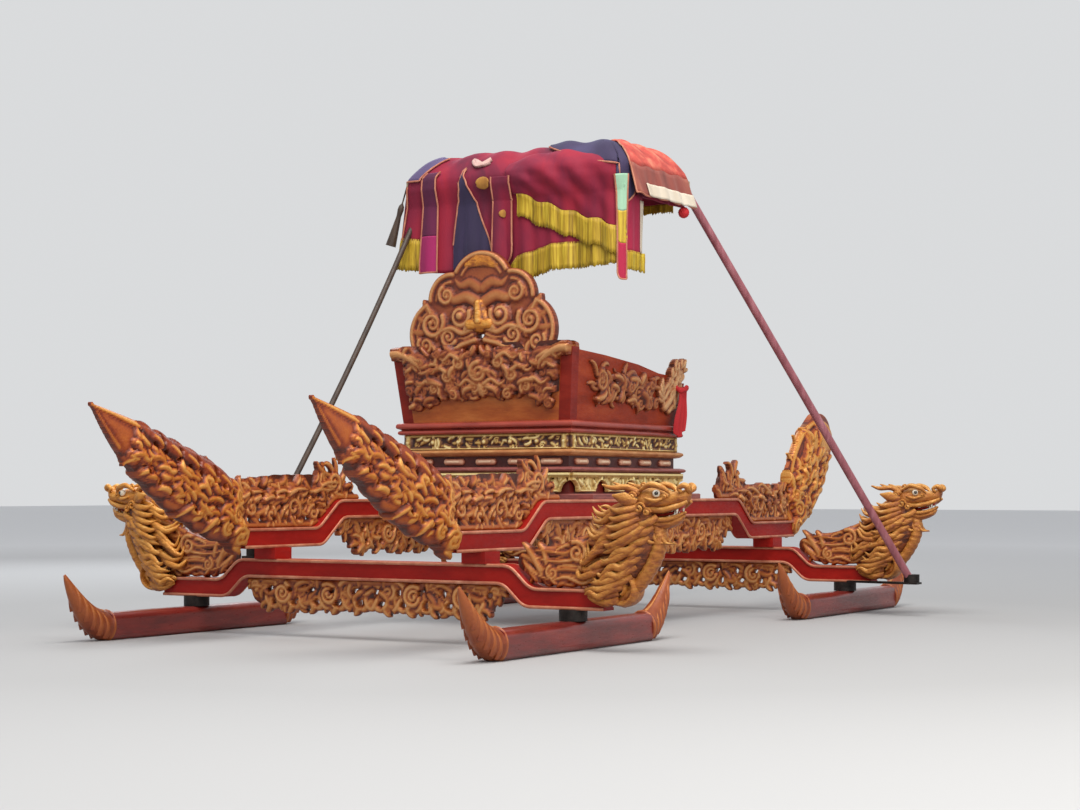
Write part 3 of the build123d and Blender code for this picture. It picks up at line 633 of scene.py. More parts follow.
def carved_shell(relief, place, back=None):
    """A carving as a closed shell. Its front is at the carved height and its back mirrors it, or
    lies flat at the offset back; walls join the two round every opening."""
    count = len(relief["u"])
    front = place(relief["u"], relief["v"], relief["height"])
    behind = -relief["height"] if back is None else np.full(count, back)
    rear = place(relief["u"], relief["v"], behind)
    face, rims = relief["face"], relief["rims"]
    walls = np.stack([rims[:, 1], rims[:, 0], rims[:, 0] + count, rims[:, 1] + count], -1)
    points = np.concatenate([front, rear])
    faces = facing_out(points, [np.concatenate([face, face[:, ::-1] + count, walls])])
    return points, faces, np.concatenate([relief["gilt_and_shading"]] * 2)


def eased(points, count):
    """A smooth line through a few places: every point of it is a cubic blend of the four places
    around it, which meets its neighbours without a bend."""
    points = np.asarray(points, float)
    ends = np.concatenate([2 * points[:1] - points[1:2], points, 2 * points[-1:] - points[-2:-1]])
    place = np.linspace(0, len(points) - 1.0001, count)
    first = place.astype(int)
    t = (place - first)[:, None]
    p0, p1, p2, p3 = (ends[first + k] for k in range(4))
    return 0.5 * (2 * p1 + (p2 - p0) * t + (2 * p0 - 5 * p1 + 4 * p2 - p3) * t ** 2
                  + (3 * p1 - p0 - 3 * p2 + p3) * t ** 3)


def strand(points, width, level, gold, gain=0.9):
    """A long combed lock through a few places, thick at its root and drawn out to a point."""
    line = eased(points, 8 * len(points))
    share = np.linspace(0, 1, len(line))
    return stroke(line, width * (1 - 0.85 * share ** 2.2), level, gain, gold)


def slots(dice, places, long, wide, heading, spread=0.5):
    """Almond-shaped holes at these places, turned by chance about the heading."""
    cut = []
    for u, v in places:
        turn = heading + dice.normal(0, spread)
        way = long * dice.uniform(0.7, 1.2) / 2 * np.array([math.cos(turn), math.sin(turn)])
        middle = np.array([u, v])
        cut.append((np.array([middle - way, middle, middle + way]), wide * np.array([0.25, 1.0, 0.25])))
    return cut


carving_step = 0.0046
beam_line = lambda u: np.interp(u, main_top[:, 0], main_top[:, 1])
along = np.linspace(0.606, 1.262, 40)
crests = {}
for end, seed, flames_end, top_places, peaks in (
        ("rear", 11, 0.90,
         [(0.60, 0.47), (0.66, 0.50), (0.74, 0.545), (0.90, 0.548), (1.05, 0.546), (1.26, 0.53)],
         ((0.790, 0.49, 1.15, 0.100), (0.825, 0.50, 1.65, 0.080), (0.73, 0.48, 1.9, 0.060),
          (0.77, 0.50, 0.8, 0.060), (0.68, 0.45, 1.7, 0.045))),
        ("front", 12, 0.80,
         [(0.60, 0.50), (0.64, 0.55), (0.70, 0.545), (0.74, 0.515), (0.78, 0.535), (0.86, 0.515),
          (1.05, 0.520), (1.26, 0.505)],
         ((0.665, 0.49, 1.75, 0.105), (0.635, 0.49, 1.35, 0.075), (0.765, 0.47, 1.3, 0.085),
          (0.69, 0.49, 1.1, 0.08), (0.62, 0.46, 2.1, 0.06)))):
    dice = np.random.default_rng(seed)
    edge_line = lambda u: np.interp(u, *zip(*top_places)) + 0.005 * np.abs(np.sin(u * 52))
    strokes = [stroke(np.stack([along, 0.5 * (beam_line(along) + edge_line(along)) - 0.004], -1),
                      0.5 * (edge_line(along) - beam_line(along)) - 0.004, 0.0008, 0.01, 0.10),
               stroke(np.stack([along, beam_line(along) + 0.008], -1), 0.011, 0.006, 0.7, 0.5)]
    strokes += foliage(dice, 0.70, 1.25, beam_line, lambda u: beam_line(u) + 0.122, 0.105, 0.0095, 0.0,
                       1.0, leaves=9)
    strokes += thicket(dice, 0.64, 1.25, lambda u: beam_line(u) + 0.05, lambda u: edge_line(u) - 0.026,
                       0.034, lambda u, v: 3.0 + 0.5 * math.sin(9 * u), 1.0)
    for k in range(8):
        u = 1.23 - 0.060 * k + dice.uniform(-0.02, 0.02)
        level = edge_line(u) - dice.uniform(0.030, 0.075)
        arch = dice.uniform(-0.006, 0.030)
        places = [(u, level - 0.010), (u - 0.035, level + 0.4 * arch), (u - 0.075, level + arch),
                  (u - 0.115, level + 0.5 * arch)]
        strokes.append(strand(places, dice.uniform(0.008, 0.012), dice.uniform(0.010, 0.018), 1.0))
    for u, v, heading, length in peaks:
        strokes += [leaf((u, v), heading, length, 0.9, 0.024, 0.002, 0.35, 0.75),
                    leaf((u, v), heading, 0.85 * length, 0.8, 0.007, 0.009, 0.8, 1.0)]
    holes = slots(dice, [(0.765 + 0.062 * k + 0.02 * (row % 2), 0.394 + 0.040 * row) for k in range(8)
                         for row in range(3)], 0.024, 0.0085, 1.2)
    over = lambda u: edge_line(u) + 0.010 + 0.085 * np.clip((flames_end - u) / 0.05, 0, 1)
    inner = lambda u, v: np.minimum(np.minimum(v - beam_line(u) + 0.002, 1.262 - u), over(u) - v)
    crests[end] = carve(strokes, (0.58, 0.34), (1.28, 0.64), carving_step, within=inner, cuts=holes)
for end, side, e, s in corners:
    add_piece(f"carved_crest_{end}_{side}", [carved_shell(crests[end], on_main(s, e))], carved_gold,
              [f"main_crest_{end}_{side}"], "carved_wood")

# Crests on the cross beams' low ends. The carving streams inwards from the dragon's neck like
# a mane: long combed strands over a ring of cloud, and a curled leaf at the bend.


cross_line = lambda u: np.interp(u, cross_top[:, 0], cross_top[:, 1])
dice = np.random.default_rng(8)
strokes = []
for k in range(13):
    lift = 0.170 - 0.0135 * k
    sway = 0.011 * math.sin(1.9 * k)
    places = [(0.905, 0.205 + 1.10 * lift), (0.85, 0.198 + 0.98 * lift + sway),
              (0.80, 0.198 + 0.86 * lift - sway), (0.74, 0.200 + 0.72 * lift + 0.8 * sway),
              (0.68, 0.208 + 0.62 * lift - 0.6 * sway), (0.625 - 0.01 * (k % 4), 0.232 + 0.52 * lift)]
    strokes.append(strand(places, 0.0088, 0.005 + 0.004 * (k % 3), 0.70 + 0.3 * (k % 2)))
strokes += thicket(dice, 0.62, 0.90, lambda u: cross_line(u) + 0.004, lambda u: cross_line(u) + 0.045,
                   0.034, lambda u, v: 2.9, 0.9)
strokes += [volute(0.855, 0.232, 0.030, 1.5, 0.4, 1, 0.009, 0.014, 0.9, 1.0),
            volute(0.780, 0.300, 0.034, 1.6, 2.0, -1, 0.009, 0.016, 0.9, 1.0),
            volute(0.690, 0.236, 0.022, 1.4, 2.0, 1, 0.007, 0.014, 0.9, 0.95)]
for u, v, heading, length, curl, width in (
        (0.650, 0.232, 2.05, 0.125, 0.5, 0.014), (0.660, 0.240, 2.4, 0.105, 0.7, 0.012),
        (0.640, 0.228, 2.7, 0.080, -0.7, 0.011), (0.668, 0.255, 1.7, 0.085, 0.9, 0.011)):
    strokes.append(leaf((u, v), heading, length, curl, width, 0.006, 0.9, 0.85))
ground = [stroke([(0.59, 0.268), (0.66, 0.250), (0.75, 0.262), (0.86, 0.285)], (0.03, 0.050, 0.068, 0.085),
                 0.001, 0.01, 0.08)]
cross_crest = carve(ground + strokes, (0.52, 0.17), (0.93, 0.42), carving_step,
                    within=lambda u, v: v - cross_line(u) + 0.002)
for end, e in (("rear", -1), ("front", 1)):
    shells = [carved_shell(cross_crest, on_cross(e, s)) for s in (-1, 1)]
    add_piece(f"carved_cross_crests_{end}", shells, carved_gold, [f"cross_crests_{end}"], "carved_wood")

# Frets under the beams' raised middles. Each is a deep pierced plank of scrolls, leaf bosses
# and wave strands that hangs on pegs under the beam.


def mirrored(strokes):
    """The same strokes on the other side of the drawing's middle."""
    return [(points * [-1, 1], *rest) for points, *rest in strokes]


def grounded(strokes, swell):
    """A thin dark disc behind every scroll, swell times as wide, which ties the leaves together."""
    scrolls = [points for points, *rest in strokes if len(points) > 16]
    return [stroke(points.mean(0)[None], swell * 0.5 * np.ptp(points[:, 0]), 0.0005, 0.01, 0.10)
            for points in scrolls] + strokes


def fret(dice, half, top, drop, inner, pitch):
    """Scrolls along the plank's upper part, mirrored about its middle, over a scalloped edge of
    leaves that point down and outwards, and the dark eyes cut between the scrolls."""
    high = lambda u: top + 0.004
    right = foliage(dice, 0.02, inner, lambda u: top - 0.74 * drop, high, pitch, 0.0100, -0.4, 0.95,
                    leaves=9)
    right += foliage(dice, inner, half, lambda u: top - 0.5 * drop, high, 0.8 * pitch, 0.009, 0, 0.9)
    right += thicket(dice, 0.0, inner, lambda u: top - 0.80 * drop, lambda u: top - 0.12 * drop, 0.042,
                     lambda u, v: -0.4, 1.0)
    count = round(inner / (0.5 * pitch))
    for k in range(count):
        u = (k + 0.5) * inner / count
        right += [leaf((u - 0.02, top - 0.55 * drop), -1.0 - 0.5 * (k % 2), 0.46 * drop, 1.1, 0.013, 0.006,
                       0.9, 0.85),
                  leaf((u, top - 0.50 * drop), -1.9, 0.42 * drop, -1.2, 0.011, 0.009, 0.9, 0.95)]
    for k in range(2):
        u = 0.17 + 0.42 * inner * k
        right.append(volute(u, top - 0.40 * drop, 0.30 * drop, 1.9, 1.0 + k, 1, 0.0095, 0.016, 0.9, 1.0))
    strokes = grounded(right + mirrored(right), 1.45)
    board = top - 0.36 * drop
    strokes.append(stroke([(-inner, board), (inner, board)], 0.36 * drop, 0.0008, 0.01, 0.10))
    rail = np.linspace(-half, half, 60)
    strokes.append(stroke(np.stack([rail, np.full(60, top - 0.006)], -1), 0.012, 0.006, 0.6, 0.5))
    eyes = [(u + 0.02 * row, top - (0.30 + 0.32 * row) * drop) for u in np.arange(-inner + 0.04, inner, 0.088)
            for row in (0, 1)]
    return strokes, slots(dice, eyes, 0.026, 0.0088, 0.6)


for kind, half, top, drop, inner, pitch, under, beams in (
        ("main", 0.713, 0.391, 0.138, 0.62, 0.105, main_under,
         (("left", on_main(-1)), ("right", on_main(1)))),
        ("cross", 0.52, 0.195, 0.122, 0.46, 0.095, cross_under,
         (("rear", on_cross(-1)), ("front", on_cross(1))))):
    strokes, holes = fret(np.random.default_rng(23), half, top, drop, inner, pitch)
    hung_under = lambda u, v: np.minimum(np.interp(u, under[:, 0], under[:, 1]) + 0.002 - v, v - top + drop)
    relief = carve(strokes, (-half, top - drop), (half, top + 0.02), 0.0047, cuts=holes, within=hung_under)
    for beam, place in beams:
        add_piece(f"carved_{kind}_fret_{beam}", [carved_shell(relief, place)], carved_gold,
                  [f"{kind}_fret_{beam}"], "carved_wood")

# Horns on the main beams' ends. A rear horn is a long tapering beak of smooth lacquer whose
# body is wrapped in rows of leaves, with a hooked blade behind each row on both edges. A front
# horn is a broad upright leaf. Each is one thick block, tenoned on the beam's end and gilded.


def arc_line(a, b, c, count=40):
    """The circle through three places, from the first to the last."""
    (ax, ay), (bx, by), (cx, cy) = a, b, c
    twice = 2 * (ax * (by - cy) + bx * (cy - ay) + cx * (ay - by))
    x = ((ax ** 2 + ay ** 2) * (by - cy) + (bx ** 2 + by ** 2) * (cy - ay)
         + (cx ** 2 + cy ** 2) * (ay - by)) / twice
    y = ((ax ** 2 + ay ** 2) * (cx - bx) + (bx ** 2 + by ** 2) * (ax - cx)
         + (cx ** 2 + cy ** 2) * (bx - ax)) / twice
    turn = np.unwrap([math.atan2(v - y, u - x) for u, v in (a, b, c)])
    angle = np.linspace(turn[0], turn[2], count)
    reach = math.hypot(ax - x, ay - y)
    return np.stack([x + reach * np.cos(angle), y + reach * np.sin(angle)], -1)


def edge_at(line, share):
    """The place and heading of a line at a share of its points."""
    k = share * (len(line) - 1.001)
    first = int(k)
    run = line[first + 1] - line[first]
    return line[first] + (k - first) * run, math.atan2(run[1], run[0])


def across_horn(lower, upper, share, side):
    """A place on a horn, its heading and the horn's half width there. Share runs from root to
    tip, and side from -1 on the lower edge to 1 on the upper."""
    under, first = edge_at(lower, share)
    over, second = edge_at(upper, share)
    half = (over - under) / 2
    return under + (1 + side) * half, (first + second) / 2, float(np.linalg.norm(half))


def clusters(dice, lower, upper, shares, sides, gold):
    """Chunky leaves in rows over a horn, headed for its tip and curled either way by chance."""
    strokes = []
    for share in shares:
        for side in sides:
            root, heading, half = across_horn(lower, upper, share + dice.uniform(-0.012, 0.012),
                                              side + dice.uniform(-0.10, 0.10))
            size = 0.016 + 0.22 * half
            hand = dice.choice([-1, 1])
            heading = heading + 0.55 * side + dice.normal(0, 0.45)
            length, curl = size * dice.uniform(0.9, 1.6), hand * dice.uniform(0.5, 2.0)
            width, stand = size * dice.uniform(0.20, 0.32), dice.uniform(0.003, 0.017)
            tone = gold * dice.uniform(0.5, 1.0)
            strokes.append(leaf(root, heading, length, curl, width, stand, 0.95, tone))
    return strokes


horn_lower = arc_line((1.25, 0.297), (1.643, 0.465), (1.925, 0.750))
horn_upper = arc_line((1.25, 0.511), (1.5885, 0.645), (1.925, 0.750))
horn_middle = (horn_lower + horn_upper) / 2
horn_half = np.linalg.norm(horn_upper - horn_lower, axis=1) / 2
dice = np.random.default_rng(3)
strokes = [stroke(horn_middle, np.maximum(horn_half * 0.93, 0.004), 0.001, 0.0, 0.42),
           stroke(horn_upper[28:] + [-0.001, -0.004], np.linspace(0.013, 0.004, 12), 0.006, 0.7, 1.0),
           stroke(horn_lower[31:] + [-0.003, 0.002], np.linspace(0.006, 0.003, 9), 0.004, 0.5, 0.55)]
for k in range(5):
    size = 1 - 0.10 * k
    root, heading, half = across_horn(horn_lower, horn_upper, 0.14 + 0.115 * k, 0.62)
    strokes += [leaf(root, heading + 0.34, 0.165 * size, -0.45, 0.036 * size, 0.012, 0.42, 0.20),
                leaf(root - [0.004, 0.004], heading + 0.45, 0.070 * size, -0.55, 0.008, 0.022, 0.8, 0.85)]
for k in range(7):
    size = 1 - 0.08 * k
    root, heading, half = across_horn(horn_lower, horn_upper, 0.09 + 0.10 * k, -0.70)
    strokes += [leaf(root, heading - 0.50, 0.105 * size, 0.85, 0.021 * size, 0.004, 0.6, 0.32),
                leaf(root + [0.0, 0.010], heading - 0.35, 0.070 * size, 0.9, 0.011 * size, 0.012, 0.8, 0.95)]
strokes += clusters(dice, horn_lower, horn_upper, np.linspace(0.03, 0.70, 24),
                    (-0.58, -0.30, -0.02, 0.26), 1.0)
strokes += clusters(dice, horn_lower, horn_upper, np.linspace(0.03, 0.30, 8), (0.5, 0.7), 1.0)
for u, v, radius, start, hand in ((1.284, 0.335, 0.034, 0.5, 1), (1.295, 0.410, 0.032, 2.5, -1),
                                  (1.280, 0.470, 0.026, 4.0, 1), (1.350, 0.365, 0.024, 1.0, -1)):
    strokes.append(volute(u, v, radius, 1.5, start, hand, 0.010, 0.018, 0.9, 1.0))
for v, heading, length in ((0.315, 2.9, 0.045), (0.335, 2.5, 0.05), (0.300, 3.4, 0.04), (0.36, 2.0, 0.05)):
    strokes.append(leaf((1.290, v), heading, length, 0.8, 0.012, 0.016, 0.9, 1.0))
gaps = [across_horn(horn_lower, horn_upper, 0.235 + 0.115 * k, 0.80) for k in range(4)]
holes = [cut for root, heading, half in gaps
         for cut in slots(dice, [root], 0.042, 0.0068, heading + 1.25, 0.1)]
pits = [across_horn(horn_lower, horn_upper, 0.10 + 0.075 * k, side)[0] for k in range(8)
        for side in (-0.62, 0.48)]
holes += slots(dice, pits, 0.020, 0.0062, 1.0)


def horn_bed(gain, middle, half):
    """The horn's own round body under its leaves, thinned to the crest's thickness where the two
    meet above the beam."""
    def body(u, v):
        thin = 1 - 0.75 * np.clip((1.34 - u) / 0.09, 0, 1) * np.clip((v - 0.37) / 0.03, 0, 1)
        return gain * thin * ridge(middle, half, np.stack([u, v], -1))[1]
    return body


horn_root = lambda u, v: u - 1.246
rear_horn = carve(strokes, (1.235, 0.27), (1.95, 0.775), carving_step, within=horn_root, cuts=holes,
                  bed=horn_bed(0.34, horn_middle, horn_half), edge=0.005)

front_lower = arc_line((1.25, 0.297), (1.5624, 0.4794), (1.690, 0.7062))
front_upper = arc_line((1.25, 0.511), (1.3204, 0.6717), (1.4876, 0.7826))
front_tip = arc_line((1.690, 0.7062), (1.6028, 0.7758), (1.4876, 0.7826), 12)
front_middle = (front_lower + front_upper) / 2
front_half = np.linalg.norm(front_upper - front_lower, axis=1) / 2
dice = np.random.default_rng(6)
strokes = [stroke(front_middle[:34], front_half[:34] * 0.96, 0.001, 0.0, 0.50),
           stroke(front_lower + [-0.007, 0.005], 0.0120, 0.002, 0.8, 1.0),
           stroke(front_upper + [0.008, -0.004], 0.0110, 0.001, 0.7, 0.95),
           stroke(front_tip + [-0.006, -0.010], 0.0130, 0.002, 0.8, 1.0),
           stroke([(1.600, 0.705), (1.53, 0.700), (1.47, 0.690)], (0.062, 0.055, 0.048), 0.006, 0.20, 1.25)]
strokes += clusters(dice, front_lower, front_upper, np.linspace(0.04, 0.80, 18),
                    (-0.6, -0.3, 0.0, 0.3, 0.6), 1.3)
for share in (0.28, 0.50):
    root, heading = edge_at(front_upper, share)
    strokes.append(leaf(root + [0.004, -0.004], heading + 0.9, 0.050, 0.9, 0.0065, 0.001, 0.7, 1.2))
pits = [across_horn(front_lower, front_upper, 0.10 + 0.085 * k, side + 0.14 * (k % 2))[0] for k in range(8)
        for side in (-0.55, -0.10, 0.40)]
holes = slots(dice, pits, 0.024, 0.0060, 1.3, 0.35)
for u, v, radius, start, hand in ((1.284, 0.335, 0.034, 0.5, 1), (1.300, 0.41, 0.032, 2.5, -1),
                                  (1.280, 0.470, 0.026, 4.0, 1)):
    strokes.append(volute(u, v, radius, 1.5, start, hand, 0.010, 0.018, 0.9, 1.0))
# The front horn's border gilding is raised three and a half times: painted highlight on its rims and the
# walls of its pits.
front_horn = carve(strokes, (1.235, 0.27), (1.72, 0.83), 0.0047, within=horn_root, cuts=holes,
                   bed=horn_bed(0.20, front_middle, front_half), edge=0.005, rim_light_and_shade=3.5)
horn_finish = gilded("horn_finish", [(0.0, "461609"), (0.2, "81300f"), (0.42, "a8521c"), (0.7, "c47628"),
                                     (1.0, "de9e50")])
for end, side, e, s in corners:
    relief = rear_horn if end == "rear" else front_horn
    add_piece(f"carved_horn_{end}_{side}", [carved_shell(relief, on_main(s, e))], horn_finish,
              [f"{end}_horn_{side}"], "carved_wood")

# Dragon heads on the cross beams' ends. Each rises on an arched neck from a scroll that caps
# the beam, and looks outwards with an open mouth. It is carved in the round from one block,
# gilded all over, with white eyes, ivory fangs and a red tongue.
dragon_gold = gilded("dragon_gold", [(0.0, "481a09"), (0.28, "864318"), (0.55, "b06b29"), (0.8, "c88b40"),
                                     (1.0, "deab68")], 34, bump=0.9, combed=0.5)
dragon_yellow = gilded("dragon_yellow", [(0.0, "471a0a"), (0.28, "904c17"), (0.55, "c67d27"), (0.8, "d99642"),
                                         (1.0, "ecb96b")], 26, bump=0.8, combed=0.5)
eye_white = lacquered("eye_white", [(0.3, "cfc4ac"), (0.7, "ece5d6")], 60, 0.25, 0.05, coat=0.6)
eye_black = lacquered("eye_black", [(0.3, "0b0a09"), (0.7, "1b1715")], 60, 0.2, 0.05, coat=0.6)
tongue_red = lacquered("tongue_red", [(0.3, "8f1d1a"), (0.7, "b8332b")], 60, 0.35, 0.1, coat=0.3)


def lock(places, across, upright, shade, sides=8, count=17):
    """A tube through a few places given as out, up and sideways, with its radii and its gilding
    blended evenly from the first number to the last, with painted shade on its lower side and a
    slight painted highlight on its upper side. It is round where it has no upright radii of its
    own."""
    line = eased(places, count)[:, [0, 2, 1]]
    blended = lambda row: np.interp(np.linspace(0, 1, count), np.linspace(0, 1, len(row)), row)
    across = blended(across)
    upright = across if upright is None else blended(upright)
    ring = tube(line, across, upright, side=(0, 1, 0), sides=sides)
    # Painted shade under each lock and a slight painted highlight on top.
    lit = np.clip(0.72 + 0.36 * (ring[..., 2] - line[:, None, 2]) / (upright[:, None] + 0.001), 0.3, 1.05)
    return closed_tube(ring, (blended(shade)[:, None] * lit).T)


def both(places, *rest, **more):
    """A lock and its mirror image on the other side of the head."""
    places = np.asarray(places, float)
    return [lock(places, *rest, **more), lock(places * [1, 1, -1], *rest, **more)]


def bulb(out, up, sideways, radius):
    """A ball: a short tube whose radius follows a half circle along its axis."""
    way = np.linspace(-1, 1, 11) * 0.999
    reach = np.sqrt(1 - way ** 2)
    line = np.stack([out + radius * way, np.full(11, sideways), np.full(11, up)], -1)
    return closed_tube(tube(line, radius * reach, radius * reach, sides=14), 1.0)


# The neck, its ribbed belly, the skull with the muzzle, and the lower jaw.
ripple = 1 + 0.07 * np.abs(np.sin(np.linspace(0, 13 * np.pi, 90)))
parts = [lock([(0.880, 0.190, 0), (0.925, 0.240, 0), (0.975, 0.300, 0), (1.003, 0.365, 0), (1.000, 0.420, 0),
               (1.012, 0.455, 0)], 0.042 * ripple[::4], 0.055 * ripple[::4], (0.15, 0.25, 0.3, 0.4), 18, 40),
         lock([(0.925, 0.150, 0), (0.985, 0.205, 0), (1.036, 0.275, 0), (1.058, 0.340, 0),
               (1.045, 0.392, 0)], 0.026 * ripple, 0.020 * ripple ** 2, (0.7, 0.85, 0.85, 0.7), 12, 60),
         lock([(0.980, 0.440, 0), (1.020, 0.458, 0), (1.060, 0.462, 0), (1.100, 0.460, 0), (1.135, 0.470, 0),
               (1.152, 0.484, 0)], (0.036, 0.046, 0.040, 0.030, 0.028, 0.018),
              (0.034, 0.041, 0.036, 0.025, 0.023, 0.012), (0.6, 0.8, 0.85, 0.9), 20, 40),
         lock([(1.000, 0.412, 0), (1.045, 0.392, 0), (1.085, 0.389, 0), (1.120, 0.400, 0), (1.136, 0.414, 0)],
              (0.036, 0.030, 0.023, 0.018, 0.008), (0.028, 0.020, 0.014, 0.010, 0.005),
              (0.6, 0.75, 0.9), 16, 30)]
# Nostrils, upper and lower lips, brows, eyelids, horns, their tines, and ears.
for places, across, upright, shade in (
        ([(1.148, 0.486, 0.002), (1.160, 0.495, 0.016), (1.148, 0.504, 0.024), (1.132, 0.494, 0.027),
          (1.142, 0.484, 0.025)], (0.010, 0.010, 0.008, 0.005), None, (1.0, 1.0)),
        ([(1.020, 0.434, 0.036), (1.070, 0.430, 0.031), (1.120, 0.440, 0.026), (1.154, 0.456, 0.012)],
         (0.007, 0.008, 0.008, 0.006), (0.008, 0.009, 0.009, 0.006), (0.9, 1.0)),
        ([(1.030, 0.404, 0.031), (1.080, 0.402, 0.023), (1.120, 0.412, 0.015), (1.140, 0.424, 0.004)],
         (0.006, 0.007, 0.006, 0.004), (0.007, 0.008, 0.007, 0.004), (0.9, 1.0)),
        ([(1.008, 0.488, 0.040), (1.045, 0.506, 0.043), (1.082, 0.498, 0.038), (1.104, 0.480, 0.026)],
         (0.006, 0.010, 0.010, 0.004), (0.005, 0.010, 0.009, 0.004), (0.9, 1.0)),
        ([(1.030, 0.466, 0.045), (1.062, 0.458, 0.045), (1.092, 0.468, 0.032)], (0.004, 0.007, 0.003), None,
         (0.9, 1.0)),
        ([(1.004, 0.478, 0.030), (0.968, 0.498, 0.044), (0.925, 0.496, 0.056), (0.892, 0.506, 0.060)],
         (0.012, 0.010, 0.008, 0.003), None, (0.8, 1.0)),
        ([(0.958, 0.497, 0.047), (0.936, 0.507, 0.046), (0.922, 0.512, 0.044)], (0.007, 0.005, 0.002), None,
         (0.9, 1.0)),
        ([(1.000, 0.452, 0.044), (0.966, 0.464, 0.062), (0.930, 0.474, 0.066)], (0.005, 0.006, 0.002),
         (0.012, 0.020, 0.003), (0.7, 1.0))):
    parts += both(places, across, upright, shade)
# Cheek locks, then the mane in three rows down the back of the neck.
for k in range(5):
    parts += both([(1.008, 0.440 - 0.017 * k, 0.040), (0.970, 0.430 - 0.021 * k, 0.055),
                   (0.935 - 0.004 * k, 0.428 - 0.026 * k, 0.055),
                   (0.908 - 0.006 * k, 0.440 - 0.028 * k, 0.047)],
                  (0.009, 0.011, 0.008, 0.002), (0.010, 0.013, 0.009, 0.002), (0.6, 0.9, 1.0))
dice = np.random.default_rng(58)
for k in range(9):
    for sideways in (-0.030, 0.0, 0.030):
        back = 0.010 * k + dice.normal(0, 0.006)
        drop = 0.024 * k + dice.normal(0, 0.005)
        wave = dice.normal(0, 0.010)
        parts.append(lock([(0.985 - back, 0.452 - drop, 0.8 * sideways),
                           (0.935 - back, 0.440 - drop + wave, 1.3 * sideways + 0.004),
                           (0.893 - back, 0.415 - drop, 1.3 * sideways),
                           (0.858 - 0.8 * back, 0.418 - drop - wave, 0.9 * sideways),
                           (0.838 - 0.6 * back, 0.440 - drop, 0.6 * sideways)],
                          (0.011, 0.012, 0.010, 0.007, 0.002), (0.013, 0.013, 0.010, 0.007, 0.002),
                          (0.4, 0.8, 0.95, 1.0)))
# Short locks beside the belly, curls on the cheek and brow, and the long locks over the neck.
for k in range(7):
    out, up = 1.062 - 0.014 * k, 0.412 - 0.030 * k
    parts += both([(out, up, 0.030), (1.044 - 0.016 * k, 0.396 - 0.030 * k, 0.041),
                   (1.016 - 0.017 * k, 0.388 - 0.030 * k, 0.043),
                   (0.994 - 0.017 * k, 0.402 - 0.030 * k, 0.036)],
                  (0.006, 0.008, 0.006, 0.002), (0.009, 0.012, 0.009, 0.002), (0.8, 1.0), count=9)
turn = np.linspace(0, 1, 12)
for out, up, sideways, size in ((1.012, 0.436, 0.046, 0.017), (1.036, 0.424, 0.044, 0.012),
                                (0.986, 0.470, 0.046, 0.014), (1.090, 0.470, 0.034, 0.008),
                                (1.020, 0.500, 0.036, 0.011)):
    reach = size * (1 - 0.8 * turn)
    curl = np.stack([out + reach * np.cos(8 * turn), up + reach * np.sin(8 * turn),
                     sideways + 0.006 * turn], -1)
    parts += both(curl, (0.0045, 0.0045, 0.005), None, (0.8, 1.1), 6, 22)
for k in range(9):
    sway = dice.normal(0, 0.011)
    parts += both([(1.030 - 0.010 * k, 0.392 - 0.024 * k, 0.036),
                   (1.000 - 0.012 * k, 0.368 - 0.024 * k + sway, 0.048),
                   (0.962 - 0.011 * k, 0.352 - 0.023 * k, 0.052),
                   (0.925 - 0.010 * k, 0.322 - 0.019 * k + sway, 0.050),
                   (0.893 - 0.009 * k, 0.318 - 0.018 * k, 0.042)], (0.008, 0.010, 0.009, 0.007, 0.002),
                  (0.011, 0.013, 0.012, 0.009, 0.002), (0.6, 0.95, 0.9, 1.0), count=15)
# The beard under the jaw, the leaves at the neck's foot, and the scroll that caps the beam.
for k in range(4):
    parts += both([(1.070 - 0.018 * k, 0.388, 0.008 + 0.006 * k),
                   (1.066 - 0.020 * k, 0.358, 0.012 + 0.007 * k),
                   (1.082 - 0.022 * k, 0.334, 0.014 + 0.007 * k),
                   (1.104 - 0.018 * k, 0.330 + 0.004 * k, 0.012)],
                  (0.008, 0.009, 0.006, 0.002), None, (0.7, 1.0))
for k in range(3):
    parts += both([(0.935, 0.160 + 0.022 * k, 0.034), (0.892, 0.150 + 0.020 * k, 0.040),
                   (0.850 - 0.012 * k, 0.158 + 0.014 * k, 0.037), (0.826, 0.166 + 0.004 * k, 0.033)],
                  (0.006, 0.008, 0.006, 0.001), (0.012, 0.013, 0.009, 0.002), (0.6, 0.9, 1.0))
turn = np.linspace(0, 1, 34)
reach = 0.052 - 0.040 * turn
roll = np.stack([0.935 + reach * np.cos(1.2 - 8.5 * turn), 0.188 + reach * np.sin(1.2 - 8.5 * turn),
                 0 * turn], -1)
parts.append(lock(roll, (0.038, 0.040, 0.041), (0.012, 0.011, 0.009), (0.8, 1.0), 14, 60))
teeth = []
for out, up, drop, sideways in ((1.122, 0.442, -0.024, 0.020), (1.108, 0.438, -0.012, 0.025),
                                (1.094, 0.436, -0.011, 0.027), (1.080, 0.434, -0.010, 0.029),
                                (1.112, 0.408, 0.022, 0.014), (1.096, 0.404, 0.011, 0.019)):
    fang = [(out, up, sideways), (out + 0.002, up + 0.5 * drop, sideways), (out + 0.001, up + drop, sideways)]
    teeth += both(fang, (0.0055, 0.004, 0.0006), None, (1, 1), count=6)
tongue = [lock([(1.020, 0.414, 0), (1.070, 0.416, 0), (1.108, 0.424, 0), (1.134, 0.440, 0),
                (1.142, 0.456, 0)],
               (0.018, 0.017, 0.013, 0.008, 0.002), (0.006, 0.005, 0.004, 0.003, 0.001), (1, 1), 12, 24)]
eyes = [bulb(1.064, 0.480, sideways, 0.0118) for sideways in (-0.0385, 0.0385)]
pupils = [bulb(1.068, 0.4805, sideways, 0.0066) for sideways in (-0.0455, 0.0455)]


